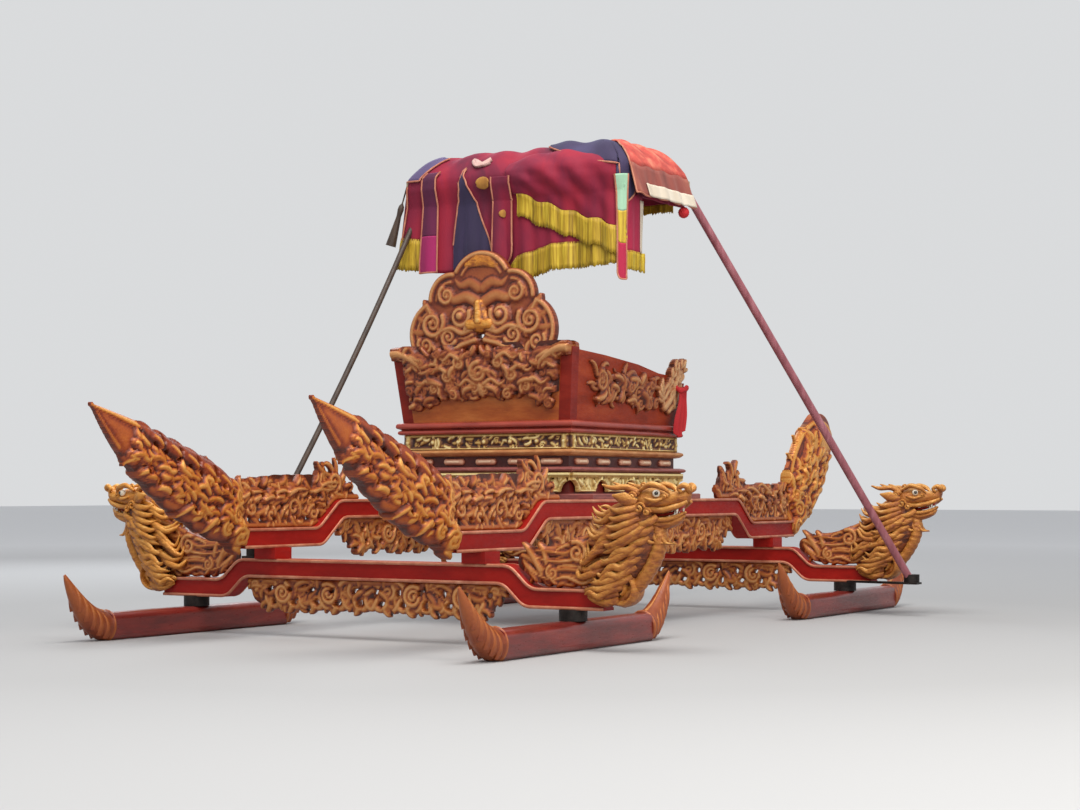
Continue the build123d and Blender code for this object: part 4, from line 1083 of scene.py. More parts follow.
def set_in(shells, place):
    """Shells drawn as out, sideways and up, moved to a beam's end."""
    moved = [(place(points[:, 0], points[:, 2], points[:, 1]), faces, gilt_and_shading) for points, faces, gilt_and_shading in shells]
    return [(points, facing_out(points, faces), gilt_and_shading) for points, faces, gilt_and_shading in moved]


for end, side, e, s in corners:
    name = f"{end}_{side}"
    leafing = dragon_yellow if name == "rear_left" else dragon_gold
    for kind, shells, finish, nodes, slot in (
            ("carved_dragon", parts, leafing, [f"dragon_{name}"], "gold_leaf"),
            ("dragon_teeth", teeth, eye_white, [], "gold_leaf"),
            ("dragon_tongue", tongue, tongue_red, [], "red_lacquer"),
            ("dragon_eyes", eyes, eye_white, [], "gold_leaf"),
            ("dragon_pupils", pupils, eye_black, [], "dark_wood")):
        add_piece(f"{kind}_{name}", set_in(shells, on_cross(e, s)), finish, nodes, slot)

# Throne base. Moulded boards are stacked over the main beams' middles: a sill, a cloud apron,
# a nosed ledge, a dark recessed waist with plaques, a second ledge, a pierced frieze between
# corner posts, and the double-moulded seat board. The boards are lacquered, the carving gilded.
seat_x, seat_y = 0.352, 0.402
sides = {"rear": lambda half_x, half_y: lambda u, v, h: spots(u, middle_y - half_y - h, v),
         "right": lambda half_x, half_y: lambda u, v, h: spots(half_x + h, middle_y + u, v),
         "front": lambda half_x, half_y: lambda u, v, h: spots(-u, middle_y + half_y + h, v),
         "left": lambda half_x, half_y: lambda u, v, h: spots(-half_x - h, middle_y - u, v)}


def moulding(half_x, half_y, profile):
    """A board's moulded edge: each place of the profile, out and up, is a mitred rectangle that
    much larger than the board, and the first and last rectangles are filled in."""
    profile = eased(profile, 5 * len(profile))
    out, up = profile[:, 0], profile[:, 1]
    sign = np.array([(-1, -1), (1, -1), (1, 1), (-1, 1)], float)
    rings = np.empty((len(profile), 4, 3))
    rings[:, :, 0] = sign[:, 0] * (half_x + out[:, None])
    rings[:, :, 1] = middle_y + sign[:, 1] * (half_y + out[:, None])
    rings[:, :, 2] = up[:, None]
    index = np.arange(4 * len(profile)).reshape(-1, 4)
    turned = np.roll(index, -1, axis=1)
    quads = np.stack([index[:-1], turned[:-1], turned[1:], index[1:]], -1).reshape(-1, 4)
    quads = np.concatenate([quads, index[:1, ::-1], index[-1:]])
    points = rings.reshape(-1, 3)
    return points, facing_out(points, [quads]), np.ones(len(points))


board_red = lacquered("board_red", [(0.25, "7c2a22"), (0.5, "9a3a2c"), (0.8, "b04c38")],
                      7, 0.36, 0.15, (1, 1, 4), coat=0.25)
ledge_gold = lacquered("ledge_gold", [(0.25, "9c5a34"), (0.5, "bd7f4c"), (0.8, "d7a56d")],
                       16, 0.42, 0.3, (1, 1, 3), metallic=0.2)
ledge_plum = lacquered("ledge_plum", [(0.25, "6d3434"), (0.5, "8c4c46"), (0.8, "a5665a")],
                       16, 0.42, 0.3, (1, 1, 3), metallic=0.1)
waist_dark = lacquered("waist_dark", [(0.3, "37100e"), (0.7, "56201a")], 14, 0.5, 0.2)
for name, half_x, half_y, profile, material, node, slot in (
        ("sill_edge", 0.446, 0.406, [(-0.002, 0.457), (0, 0.459), (0, 0.468), (0, 0.474), (-0.004, 0.477)],
         ledge_plum, "base_sill", "red_lacquer"),
        ("ledge_edge", 0.372, 0.422,
         [(-0.012, 0.550), (-0.010, 0.554), (-0.002, 0.556), (0.003, 0.562), (-0.002, 0.568),
          (-0.014, 0.571)], ledge_plum, "base_ledge", "red_lacquer"),
        ("top_ledge_edge", 0.365, 0.415,
         [(-0.020, 0.609), (-0.008, 0.612), (-0.002, 0.616), (0.003, 0.622), (0.001, 0.628), (-0.006, 0.631),
          (-0.013, 0.633)], ledge_gold, "base_top_ledge", "gold_leaf"),
        ("seat_edge", 0.367, 0.417,
         [(-0.014, 0.688), (-0.004, 0.690), (0.000, 0.696), (-0.003, 0.703), (-0.010, 0.706), (-0.006, 0.709),
          (0.003, 0.713), (0.005, 0.721), (0.001, 0.729), (-0.010, 0.733)],
         board_red, "seat_board", "red_lacquer")):
    add_piece(name, [moulding(half_x, half_y, profile)], material, [node], slot, gilded=False, sharp=35)
dress(waist_dark, "base_waist")
dress(board_red, "seat_deck")

pale_gold = gilded("pale_gold", [(0.0, "2c0f0c"), (0.2, "5d2f17"), (0.45, "a47a3c"), (0.7, "cbab66"),
                                 (1.0, "eddca4")], metallic=0.25)
apron_shells = []
for across_sides, half, lobes in ((("rear", "front"), 0.362, 3), (("left", "right"), 0.412, 4)):
    dice = np.random.default_rng(31)
    pitch = 2 * half / lobes
    from_cusp = lambda u: np.abs((u + half + pitch / 2) % pitch - pitch / 2)
    hem = lambda u: 0.483 + 0.92 * np.sqrt(np.clip(0.044 ** 2 - from_cusp(u) ** 2, 0, None))
    line = np.linspace(-half, half, 200)
    strokes = [stroke([(-half, 0.515), (half, 0.515)], 0.040, 0.003, 0.03, 0.85),
               stroke([(-half, 0.546), (half, 0.546)], 0.006, 0.012, 0.6, 1.0),
               stroke(np.stack([line, hem(line) + 0.003], -1), 0.0055, 0.010, 0.8, 1.0)]
    strokes += thicket(dice, -half, half, lambda u: 0.492, lambda u: 0.542, 0.032,
                       lambda u, v: -1.2, 1.3, 0.009)
    eyes = [(u, v) for u in np.arange(-half + 0.03, half, 0.062) for v in (0.505, 0.530)]
    relief = carve(strokes, (-half, 0.478), (half, 0.551), 0.0044,
                   cuts=slots(dice, eyes, 0.014, 0.0045, 0.3),
                   within=lambda u, v: np.minimum(np.minimum(half - np.abs(u), 0.5505 - v), v - hem(u)))
    apron_shells += [carved_shell(relief, sides[k](0.358, 0.408), -0.004) for k in across_sides]
apron_gold = gilded("apron_gold", [(0.0, "6e4a20"), (0.25, "a88444"), (0.5, "c6a660"), (1.0, "ecdca0")],
                    metallic=0.25)
add_piece("cloud_apron", apron_shells, apron_gold, [], "gold_leaf")
# The board behind the apron is a dark red: partly its red lacquer, partly painted shade under the scallops.
apron_red = lacquered("apron_red", [(0.3, "5a1614"), (0.7, "7f231d")], 12, 0.4, 0.15)
apron_ground = moulding(0.344, 0.394, [(0, 0.477), (0, 0.500), (0, 0.530), (0, 0.550)])
add_piece("apron_ground", [apron_ground], apron_red, ["base_apron"], "red_lacquer", gilded=False, sharp=35)

frieze_middle = 0.6605
waist_shells = []
frieze_shells = []
for across_sides, half in ((("rear", "front"), seat_x), (("left", "right"), seat_y)):
    strokes = []
    for k in range(5):
        u = (k - 2) * 0.385 * half
        strokes += [stroke([(u - 0.032, 0.590), (u + 0.032, 0.590)], 0.0125, 0.003, 0.75, 0.55),
                    stroke([(u - 0.022, 0.591), (u + 0.022, 0.591)], 0.0060, 0.009, 0.8, 1.0)]
    relief = carve(strokes, (-half, 0.571), (half, 0.609), 0.0036)
    waist_shells += [carved_shell(relief, sides[k](seat_x - 0.012, seat_y - 0.012), -0.003)
                     for k in across_sides]
    dice = np.random.default_rng(47)
    # A flat plate of the darkest gilding under the frieze's carving: painted shade standing in for the dark
    # inside seen through the openwork.
    strokes = [stroke([(-half, frieze_middle), (half, frieze_middle)], 0.030, 0.0006, 0.0, 0.0)]
    strokes += thicket(dice, -half + 0.04, half - 0.04, lambda u: 0.643, lambda u: 0.679, 0.027,
                       lambda u, v: 0.8 * math.sin(40 * u), 1.1, 0.008)
    strokes += [stroke([(-half, level), (half, level)], 0.0038, 0.008, 0.9, 0.95)
                for level in (0.6365, 0.6845)]
    for k in range(7):
        u = (k - 3) * (half - 0.023) / 3
        wide = 0.012 if k in (0, 6) else 0.0065
        strokes += [stroke([(u, 0.636), (u, 0.685)], wide, 0.008, 0.5, 0.8),
                    stroke([(u, frieze_middle)], 0.009, 0.012, 0.6, 1.0)]
    band = lambda u, v: np.minimum(half - 0.006 - np.abs(u), 0.0272 - np.abs(v - frieze_middle))
    relief = carve(strokes, (-half, 0.633), (half, 0.688), 0.0038, within=band)
    frieze_shells += [carved_shell(relief, sides[k](seat_x - 0.008, seat_y - 0.008), -0.006)
                      for k in across_sides]
plaque_pink = gilded("plaque_pink", [(0.0, "6a2c20"), (0.25, "a8654c"), (0.5, "c99678"), (1.0, "ecccac")],
                     metallic=0.1)
add_piece("waist_plaques", waist_shells, plaque_pink, [], "gold_leaf")
add_piece("carved_frieze", frieze_shells, pale_gold, ["base_frieze", "base_posts"], "gold_leaf")

# Throne. Flared lacquered boards stand between corner posts on the seat board, open at the
# front. Deep scrolls, cloud bands and curling leaves are carved on both faces of the back
# and the sides and picked out in gold.
panel_brown = lacquered("panel_brown", [(0.25, "88391a"), (0.5, "a95926"), (0.8, "c07338")],
                        6, 0.42, 0.3, (1, 1, 4), coat=0.1, gloss=0.3)
panel_red = lacquered("panel_red", [(0.25, "73230e"), (0.5, "923116"), (0.8, "ab4822")],
                      6, 0.5, 0.25, (1, 1, 4), gloss=0.25)
post_red = lacquered("post_red", [(0.25, "62160e"), (0.5, "801f13"), (0.8, "992d1c")],
                     6, 0.46, 0.15, (1, 1, 3), gloss=0.25)
dress(panel_brown, "throne_back")
dress(panel_red, "throne_side_left", "throne_side_right")
dress(post_red, "throne_posts")
throne_foot, throne_tall = 0.733, 0.252
wall = 0.030
sunk = -0.004


def on_back(inner):
    """A drawing on the flared back: across, up, and out from its rear or its front face."""
    def place(u, v, h):
        share = (v - throne_foot) / throne_tall
        face = -(seat_y + 0.029 * share)
        return spots(u * (1 + 0.088 * share), middle_y + face + inner * wall + (2 * inner - 1) * h, v)
    return place


def on_side(s, inner):
    """A drawing on a flared side: forwards, up, and out from its outer or its inner face."""
    def place(u, v, h):
        share = (v - throne_foot) / throne_tall
        face = seat_x + 0.027 * share - inner * wall + (1 - 2 * inner) * h
        return spots(s * face, middle_y + u * (1 + 0.08 * share), v)
    return place


throne_carving = gilded("throne_carving", [(0.0, "401509"), (0.22, "773116"), (0.5, "964d25"),
                                           (0.78, "ad6b3a"), (1.0, "c78e5a")])
dice = np.random.default_rng(5)
flow = lambda u, v: 0.5 * math.sin(14 * u + 30 * v)
carving_foot = lambda u: 0.805 - 0.03 * (u > 0.2)
right = thicket(dice, 0.0, 0.29, carving_foot, lambda u: 0.988, 0.046, flow, 0.95, 0.020)
right += thicket(dice, 0.0, 0.29, lambda u: 0.83, lambda u: 0.975, 0.030, lambda u, v: 2.4, 1.0, 0.020)
for k in range(5):
    u, v = 0.02 + 0.055 * k, 0.850 + 0.045 * ((2 * k) % 3)
    right.append(volute(u, v, 0.022, 1.4, 1.3 * k, (-1) ** k, 0.0085, 0.018, 0.9, 1.0))
    right.append(strand([(u, v + 0.015), (u + 0.030, v + 0.030), (u + 0.060, v + 0.012),
                         (u + 0.085, v + 0.028)], 0.0100, 0.018, 1.0))
right.append(strand([(0.345, 0.978), (0.315, 0.979), (0.280, 0.966), (0.245, 0.940), (0.232, 0.915)],
                    0.0150, 0.020, 1.5))
left_only = mirrored(thicket(dice, 0.0, 0.29, carving_foot, lambda u: 0.988, 0.038, flow, 0.95, 0.022))
strokes = grounded(right + left_only + mirrored(right), 1.3)
strokes += [stroke([(-0.27, 0.90), (0.27, 0.90)], 0.075, 0.0008, 0.01, 0.08),
            volute(0, 0.905, 0.036, 1.6, 1.57, 1, 0.011, 0.020, 0.9, 1.0),
            leaf((0.005, 0.87), -1.57, 0.05, 0.3, 0.02, 0.012, 0.8, 1.0)]
back_relief = carve(strokes, (-0.35, 0.75), (0.35, 1.0), 0.0047,
                    within=lambda u, v: np.where(v > 0.955, 0.346, 0.305) - np.abs(u))
add_piece("carved_back_panel", [carved_shell(back_relief, on_back(inner), sunk) for inner in (0, 1)],
          throne_carving, [], "carved_wood")

side_top = lambda u: np.interp(u, [-0.431, -0.201, 0.048, 0.209, 0.431], [0.979, 0.967, 0.947, 0.923, 0.911])
dice = np.random.default_rng(19)
strokes = foliage(dice, -0.26, 0.17, lambda u: 0.80, lambda u: side_top(u) - 0.040, 0.090, 0.0085, 0.2, 0.85,
                  leaves=8)
strokes += thicket(dice, -0.26, 0.18, lambda u: 0.79, lambda u: side_top(u) - 0.045, 0.050, lambda u, v: 0.4,
                   1.0, 0.020)
side_relief = carve(grounded(strokes, 1.1), (-0.36, 0.75), (0.36, 0.99), 0.0048,
                    within=lambda u, v: np.minimum(0.354 - np.abs(u), side_top(u * 1.075) - 0.002 - v))
for side, s in (("left", -1), ("right", 1)):
    shells = [carved_shell(side_relief, on_side(s, inner), sunk) for inner in (0, 1)]
    add_piece(f"carved_side_panel_{side}", shells, throne_carving, [], "carved_wood")

# Arm terminals. A gilded flame stands at the front end of each side. Its tongues rise from low
# on the panel, sweep forwards and end in points above the post, with small leaves between.
tongues = [
    strand([(0.262, 0.800), (0.300, 0.832), (0.328, 0.878), (0.350, 0.930), (0.382, 0.984)],
           0.019, 0.006, 1.0),
    strand([(0.300, 0.786), (0.342, 0.822), (0.364, 0.872), (0.378, 0.924), (0.402, 0.962)],
           0.014, 0.005, 0.9),
    strand([(0.252, 0.832), (0.280, 0.866), (0.300, 0.912), (0.328, 0.962)], 0.012, 0.008, 1.0),
    strand([(0.256, 0.806), (0.232, 0.836), (0.240, 0.872)], 0.010, 0.008, 0.9),
    strand([(0.330, 0.800), (0.318, 0.850), (0.330, 0.900), (0.360, 0.952)], 0.009, 0.014, 1.0)]
strokes = list(tongues)
dice = np.random.default_rng(21)
for points, *rest in tongues:
    for share in (0.25, 0.45, 0.65, 0.85):
        root, heading = edge_at(points, share)
        for hand in (-1, 1):
            turned = heading + hand * dice.uniform(0.5, 0.9)
            length, curl = dice.uniform(0.030, 0.050), -hand * dice.uniform(0.6, 1.4)
            strokes.append(leaf(root, turned, length, curl, 0.0085, 0.010, 0.9, dice.uniform(0.7, 1.0)))
strokes += [volute(0.306, 0.842, 0.020, 1.4, 0.5, 1, 0.008, 0.014, 0.9, 1.0),
            volute(0.352, 0.902, 0.016, 1.4, 3.5, -1, 0.007, 0.014, 0.9, 1.0),
            stroke([(0.270, 0.815), (0.330, 0.860), (0.366, 0.935)], (0.030, 0.040, 0.012),
                   0.001, 0.05, 0.25)]
strokes += thicket(dice, 0.245, 0.385, lambda u: 0.79, lambda u: 0.845 + 0.85 * (u - 0.245), 0.026,
                   lambda u, v: 0.9, 0.8, 0.012)
arm_gold = gilded("arm_gold", [(0.0, "4a1a0b"), (0.25, "894626"), (0.5, "a86c40"), (1.0, "d4a676")])
arm_relief = carve(strokes, (0.20, 0.72), (0.45, 1.03), 0.0042, within=lambda u, v: v - 0.742)
leaning = lambda v: 0.027 * (v - throne_foot) / throne_tall
shells = []
for s in (-1, 1):
    place = lambda u, v, h: spots(s * (seat_x + leaning(v) + 0.004 + 0.95 * h), middle_y + u - 0.006, v)
    shells.append(carved_shell(arm_relief, place))
add_piece("carved_arm_terminals", shells, arm_gold, ["arm_terminals"], "gold_leaf")

# Backrest. A tall plank sawn to cloud lobes, with a rolled rim round every lobe. Its carving
# is a guardian beast's mask among cloud scrolls: round eyes under brows, a broad gilded nose,
# and whiskers that curl out into the lobes.
lobes = ((0.0, 1.208, 0.130), (0.128, 1.170, 0.098), (0.186, 1.050, 0.122), (0.0, 1.055, 0.150))
circle = np.linspace(-np.pi / 2, 1.5 * np.pi, 61)
ground = []
places = [(hand * u, v, radius) for u, v, radius in lobes for hand in ((-1, 1) if u else (1,))]
for u, v, radius in places:
    ground.append(stroke([(u, v)], radius, 0.013, 0.0, 0.52))
    for inset, width, gold in ((0.010, 0.0095, 1.0), (0.036, 0.0060, 0.8)):
        ring = np.stack([u + (radius - inset) * np.cos(circle), v + (radius - inset) * np.sin(circle)], -1)
        others = [(a, b, r) for a, b, r in places if (a, b) != (u, v)]
        clear = np.all([np.hypot(*(ring - [a, b]).T) > r - 0.004 for a, b, r in others], axis=0)
        if clear.sum() > 3:
            ground.append(stroke(ring[clear], width, 0.015, 0.8, gold))
ground.append(stroke([(-0.26, 0.975), (0.26, 0.975)], 0.032, 0.013, 0.0, 0.4))
right = [volute(0.083, 1.108, 0.040, 1.6, 2.8, 1, 0.012, 0.022, 0.9, 1.0),
         stroke([(0.083, 1.108)], 0.016, 0.030, 0.9, 1.0),
         strand([(0.016, 1.156), (0.062, 1.176), (0.112, 1.168), (0.150, 1.196), (0.166, 1.226)],
                0.022, 0.016, 0.8, 0.5),
         strand([(0.010, 1.205), (0.045, 1.225), (0.085, 1.218), (0.110, 1.240)], 0.020, 0.014, 0.7, 0.45),
         volute(0.145, 1.185, 0.034, 1.5, 1.0, -1, 0.010, 0.018, 0.9, 0.9),
         volute(0.205, 1.085, 0.050, 1.7, 2.6, 1, 0.012, 0.018, 0.9, 0.9),
         volute(0.235, 1.010, 0.034, 1.5, 0.6, -1, 0.010, 0.018, 0.9, 0.9),
         volute(0.135, 1.035, 0.034, 1.5, 3.6, 1, 0.010, 0.020, 0.9, 0.95),
         strand([(0.030, 1.062), (0.075, 1.048), (0.118, 1.066), (0.165, 1.058), (0.190, 1.030)],
                0.013, 0.022, 1.0),
         strand([(0.022, 1.020), (0.070, 1.008), (0.110, 0.992), (0.150, 0.996), (0.185, 0.975)],
                0.012, 0.022, 0.9),
         strand([(0.030, 1.040), (0.060, 1.028), (0.095, 1.030)], 0.008, 0.024, 0.8),
         leaf((0.028, 1.078), -0.3, 0.05, -1.0, 0.015, 0.024, 0.9, 1.0),
         leaf((0.030, 0.995), -1.3, 0.04, 0.6, 0.012, 0.020, 0.9, 1.0)]
right += [leaf((0.20 + 0.016 * k, 1.12 - 0.03 * k), 0.5 - 0.35 * k, 0.075, 1.0, 0.014, 0.013, 0.6, 0.7)
          for k in range(3)]
right += [leaf((0.10 + 0.045 * k, 0.965), 1.2 + 0.3 * (-1) ** k, 0.055, -1.1, 0.011, 0.018, 0.9, 0.85)
          for k in range(4)]
strokes = ground + right + mirrored(right)
mouth = lambda u, v: np.hypot(u / 1.9, v - 1.034) - 0.0085
backrest = carve(strokes, (-0.33, 0.955), (0.33, 1.345), carving_step,
                 within=lambda u, v: np.minimum(np.minimum(v - 0.9645, 1.3405 - v), mouth(u, v)))
backrest_y = middle_y - 0.4137
on_backrest = lambda u, v, h: spots(u, backrest_y + 0.78 * h, v)
add_piece("carved_backrest", [carved_shell(backrest, on_backrest)], throne_carving, ["backrest"],
          "carved_wood")
nose = [stroke([(0, 1.086), (0, 1.142)], (0.042, 0.022), 0.020, 0.6, 0.72),
        stroke([(-0.040, 1.076), (0.040, 1.076)], 0.020, 0.030, 0.8, 0.72),
        stroke([(0.002, 1.088), (-0.003, 1.150)], (0.017, 0.011), 0.040, 0.8, 0.82)]
crown_cloud = stroke([(-0.06, 1.288), (-0.015, 1.303), (0.030, 1.298), (0.065, 1.280)],
                     (0.012, 0.024, 0.022, 0.010), 0.016, 0.3, 0.55)
gilt_parts = carve(nose + [crown_cloud], (-0.09, 1.03), (0.09, 1.34), 0.0042)
add_piece("gilded_nose", [carved_shell(gilt_parts, on_backrest)], dragon_yellow, [], "gold_leaf")

# Canopy poles and frame. Two slanting poles stand in iron sockets on the cross beams and hold
# up a light frame of planed laths. The front pole is lacquered a dull mauve red, the rear one
# is a plain dark rod.
front_pole_red = lacquered("front_pole_red", [(0.25, "76363e"), (0.55, "9a5860"), (0.8, "b47a80")],
                           14, 0.4, 0.3, (3, 3, 0.4), coat=0.15)
rear_pole_brown = lacquered("rear_pole_brown", [(0.3, "2b1f18"), (0.7, "4a382b")], 14, 0.5, 0.3, (3, 3, 0.4))
frame_lath = lacquered("frame_lath", [(0.25, "8d7a60"), (0.6, "b09c7d"), (0.85, "c8b898")],
                       12, 0.6, 0.4, (0.4, 3, 3))
dress(front_pole_red, "canopy_pole_front")
dress(rear_pole_brown, "canopy_pole_rear")
dress(swivel_iron, "pole_sockets")
dress(frame_lath, "canopy_frame")

# Canopy cloth. One large velvet cloth is draped over the frame, down to a long wall behind the
# throne and to short valances on the other sides. Its corners are rounded and it falls in
# soft folds that grow towards the hem.


def velvet(name, stops, sheen, tint, scale=6, streak=(1, 1, 0.3), roughness=0.8, pile=0.5):
    """A pile cloth. Stretched noise moves its colour in streaks down the cloth, where dark and light
    stops paint the shade and highlight of folds, fine noise gives the pile, and its sheen lights
    the turns."""
    material, tree, shader = new_finish(name)
    stretched = places_on_piece(tree, streak)[1]
    shades = noise(tree, stretched, Scale=scale, Detail=4, Distortion=0.4)
    nap = noise(tree, stretched, Scale=260, Detail=2)
    fill(shader, {"Roughness": roughness, "Sheen Weight": sheen, "Sheen Roughness": 0.4,
                  "Sheen Tint": srgb(tint), "Base Color": ramp(tree, shades, stops),
                  "Normal": dented(tree, nap, pile, 0.0012)})
    return material


# The crimson's darkest stop and its purple stop are painted shade and painted highlight of folds.
crimson = velvet("crimson_velvet", [(0.3, "450e2a"), (0.46, "7d0f30"), (0.6, "97152f"), (0.74, "6f2550")],
                 0.18, "c06090")
thread_gold = velvet("gold_thread", [(0.28, "7a5d10"), (0.5, "b8951d"), (0.72, "d9bd3a")],
                     0.15, "fff0a0", 110, (1, 1, 0.04), 0.6, 0.8)

wide, deep = 0.904, 0.531
canopy_x, canopy_y = 0.090, middle_y - 0.1175
eave_level, crown = 1.613, 0.100
corner_radius, roof_curve = 0.035, 0.125
strand_pitch = 0.0024
round_the = 2 * (wide + deep)


def drape(p, w):
    """A point of the canopy. It is p metres round the eave from its rear left corner, to the
    right, and w metres down from the eave, or up the roof where w is negative. The plan is a
    rectangle with rounded corners that shrinks up the roof; the folds are sums of sines round
    the eave that grow with the drop. The first corner flares outwards as it falls."""
    p, w = np.broadcast_arrays(p % round_the, w)
    on_side_of = [p < wide, p < wide + deep, p < 2 * wide + deep]
    a = np.select(on_side_of, [p - wide / 2, wide / 2, 1.5 * wide + deep - p], -wide / 2)
    b = np.select(on_side_of, [-deep / 2, p - wide - deep / 2, deep / 2], 2 * wide + 1.5 * deep - p)
    inset = np.clip(-0.8 * w, 0, deep / 2)
    radius = np.minimum(corner_radius, deep / 2 - inset)
    out_x = a - np.clip(a, corner_radius - wide / 2, wide / 2 - corner_radius)
    out_y = b - np.clip(b, corner_radius - deep / 2, deep / 2 - corner_radius)
    size = np.hypot(out_x, out_y)
    out_x, out_y = out_x / size, out_y / size
    shrunk_x, shrunk_y = wide / 2 - inset - radius, deep / 2 - inset - radius
    x = np.clip(a * (1 - 2 * inset / wide), -shrunk_x, shrunk_x) + radius * out_x
    y = np.clip(b * (1 - 2 * inset / deep), -shrunk_y, shrunk_y) + radius * out_y
    drop = np.maximum(w, 0)
    near = 1 - inset / (deep / 2)
    waves = (np.sin(2 * np.pi * p / 0.121 + 1.2 * np.sin(2 * np.pi * p / 0.41))
             + 0.5 * np.sin(2 * np.pi * p / 0.057 + 2) + 0.7 * np.sin(2 * np.pi * p / 0.273 + 0.5)) / 2.2
    swing = (0.0015 + 0.013 * np.clip(drop / 0.26, 0, 1) ** 1.2) * waves
    tuck = 0.020 * np.clip((drop - 0.035) / 0.06, 0, 1) * np.clip(-2 * out_y, 0, 1)
    corner = np.minimum(p, round_the - p) / 0.10
    flare = 0.055 * np.clip(drop / 0.30, 0, 1) * np.exp(-corner ** 2)
    x = x + out_x * swing - flare
    y = y + out_y * (swing - tuck)
    rise = crown * np.sin(np.pi / 2 * np.clip(inset / roof_curve, 0, 1)) ** 0.9
    sag = 0.010 * np.cos(3 * np.pi * x / wide) ** 2 * np.clip(inset / roof_curve, 0, 1)
    lump = 0.007 * np.sin(2 * np.pi * p / 0.17 + 1) * near * np.clip(inset / 0.05, 0, 1)
    return np.stack([canopy_x + x, canopy_y + y, eave_level - drop + rise - sag + lump], -1)


def hung(name, points, material, thick=0.003):
    """A cloth from a grid of points, rows downwards, with its thickness inwards."""
    rows, columns = points.shape[:2]
    index = np.arange(rows * columns).reshape(rows, columns)
    quads = np.stack([index[:-1, :-1], index[1:, :-1], index[1:, 1:], index[:-1, 1:]], -1).reshape(-1, 4)
    shell = (points.reshape(-1, 3), [quads], np.zeros(rows * columns))
    piece = add_piece(name, [shell], material, [], "velvet", gilded=False, sharp=None)
    wall_of = piece.modifiers.new("thickness", "SOLIDIFY")
    wall_of.thickness = thick
    wall_of.offset = -1
    return piece


def off_face(points, out):
    """Points of a cloth moved out of its face, along the cross product of its two runs."""
    down, along = np.gradient(points, axis=0), np.gradient(points, axis=1)
    normal = np.cross(down, along)
    normal /= np.linalg.norm(normal, axis=-1)[..., None] + 1e-12
    return points + normal * out[..., None]


def proud(p, top, bottom, out, rows=24, puff=0.0):
    """Points of a cloth laid on the canopy between two lines round it, lifted outwards by out
    and bulged by puff in its middle."""
    p = np.asarray(p, float)
    share = np.linspace(0, 1, rows)[:, None]
    top, bottom = np.broadcast_to(top, p.shape), np.broadcast_to(bottom, p.shape)
    points = drape(p[None], top * (1 - share) + bottom * share)
    return off_face(points, out + puff * np.sin(np.pi * share ** 0.7))


def fringe(name, p, top, length, out, dice):
    """A knotted fringe: a narrow pleated ribbon, one pleat for each strand, cut unevenly."""
    strands = np.arange(p[0], p[-1], strand_pitch)
    head = np.interp(strands, p, np.broadcast_to(top, len(p)))
    reach = np.interp(strands, p, np.broadcast_to(length, len(p)))
    reach = reach + dice.uniform(-0.005, 0.004, len(strands))
    pleat = out + 0.0014 * (-1.0) ** np.arange(len(strands))
    pleat = pleat + dice.uniform(-0.0008, 0.0008, (6, len(strands)))
    points = off_face(proud(strands, head, head + reach, 0.0, 6), pleat)
    return hung(name, points, thread_gold, 0.0012)


hem_line = [(0, 0.022), (0.006, 0.022), (0.010, 0.205), (0.090, 0.215), (0.100, 0.335), (0.17, 0.340),
            (0.45, 0.336), (0.47, 0.300), (0.62, 0.266), (0.80, 0.262), (0.904, 0.250), (0.96, 0.22),
            (1.05, 0.106), (1.372, 0.106), (1.378, 0.020), (1.50, 0.020), (1.506, 0.075), (2.62, 0.075),
            (2.68, 0.022), (round_the, 0.022)]
hem_at = lambda p: np.interp(p % round_the, *zip(*hem_line))
eave_points = np.unique(np.concatenate([np.linspace(0, round_the, 290), [p for p, level in hem_line]]))
up_roof = np.linspace(-deep / 1.6, 0, 14)[:-1]
roof = drape(eave_points[None], up_roof[:, None])
walls = drape(eave_points[None], np.linspace(0, 1, 25)[:, None] * hem_at(eave_points)[None])
main_cloth = hung("canopy_velvet", np.concatenate([roof, walls]), crimson)
joint = bmesh.new()
joint.from_mesh(main_cloth.data)
bmesh.ops.remove_doubles(joint, verts=joint.verts, dist=0.0002)
joint.to_mesh(main_cloth.data)
joint.free()
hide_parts("canopy_cloth")

dice = np.random.default_rng(77)
for label, line in (
        ("rear_left", [(0.008, 0.200, 0.115), (0.096, 0.212, 0.120)]),
        ("rear", [(0.435, 0.332, 0.070), (0.47, 0.296, 0.096), (0.62, 0.262, 0.094), (0.893, 0.252, 0.095)]),
        ("front", [(1.512, 0.072, 0.036), (2.60, 0.072, 0.036)])):
    p, top, length = np.array(line).T
    fringe(f"fringe_{label}", p, top, length, 0.0, dice)

# Cloths laid over the canopy. A navy cloth and a coral brocade lie over its right end, a broad
# swag is hooked up across the back, and narrow banners with rounded ends hang at the corners.
# Each is lined, and cords are sewn along most of their edges.
navy = velvet("navy_velvet", [(0.3, "221a33"), (0.55, "35294a"), (0.75, "4a4468")], 0.3, "8890c0")
plum = velvet("plum_velvet", [(0.3, "3f1030"), (0.6, "661640"), (0.8, "7f2450")], 0.3, "e080b0", 9)
magenta = velvet("magenta_velvet", [(0.3, "7c1245"), (0.6, "a01c5c"), (0.8, "b24a7c")], 0.35, "f090c0")
coral = velvet("coral_brocade", [(0.3, "93322f"), (0.5, "c24a40"), (0.66, "cf7a62"), (0.8, "b2503f")],
               0.2, "ffc0a0", 16, (1, 1, 1))
pale_blue = velvet("grey_blue_cloth", [(0.3, "43365c"), (0.7, "6f6288")], 0.2, "d0d0f0")
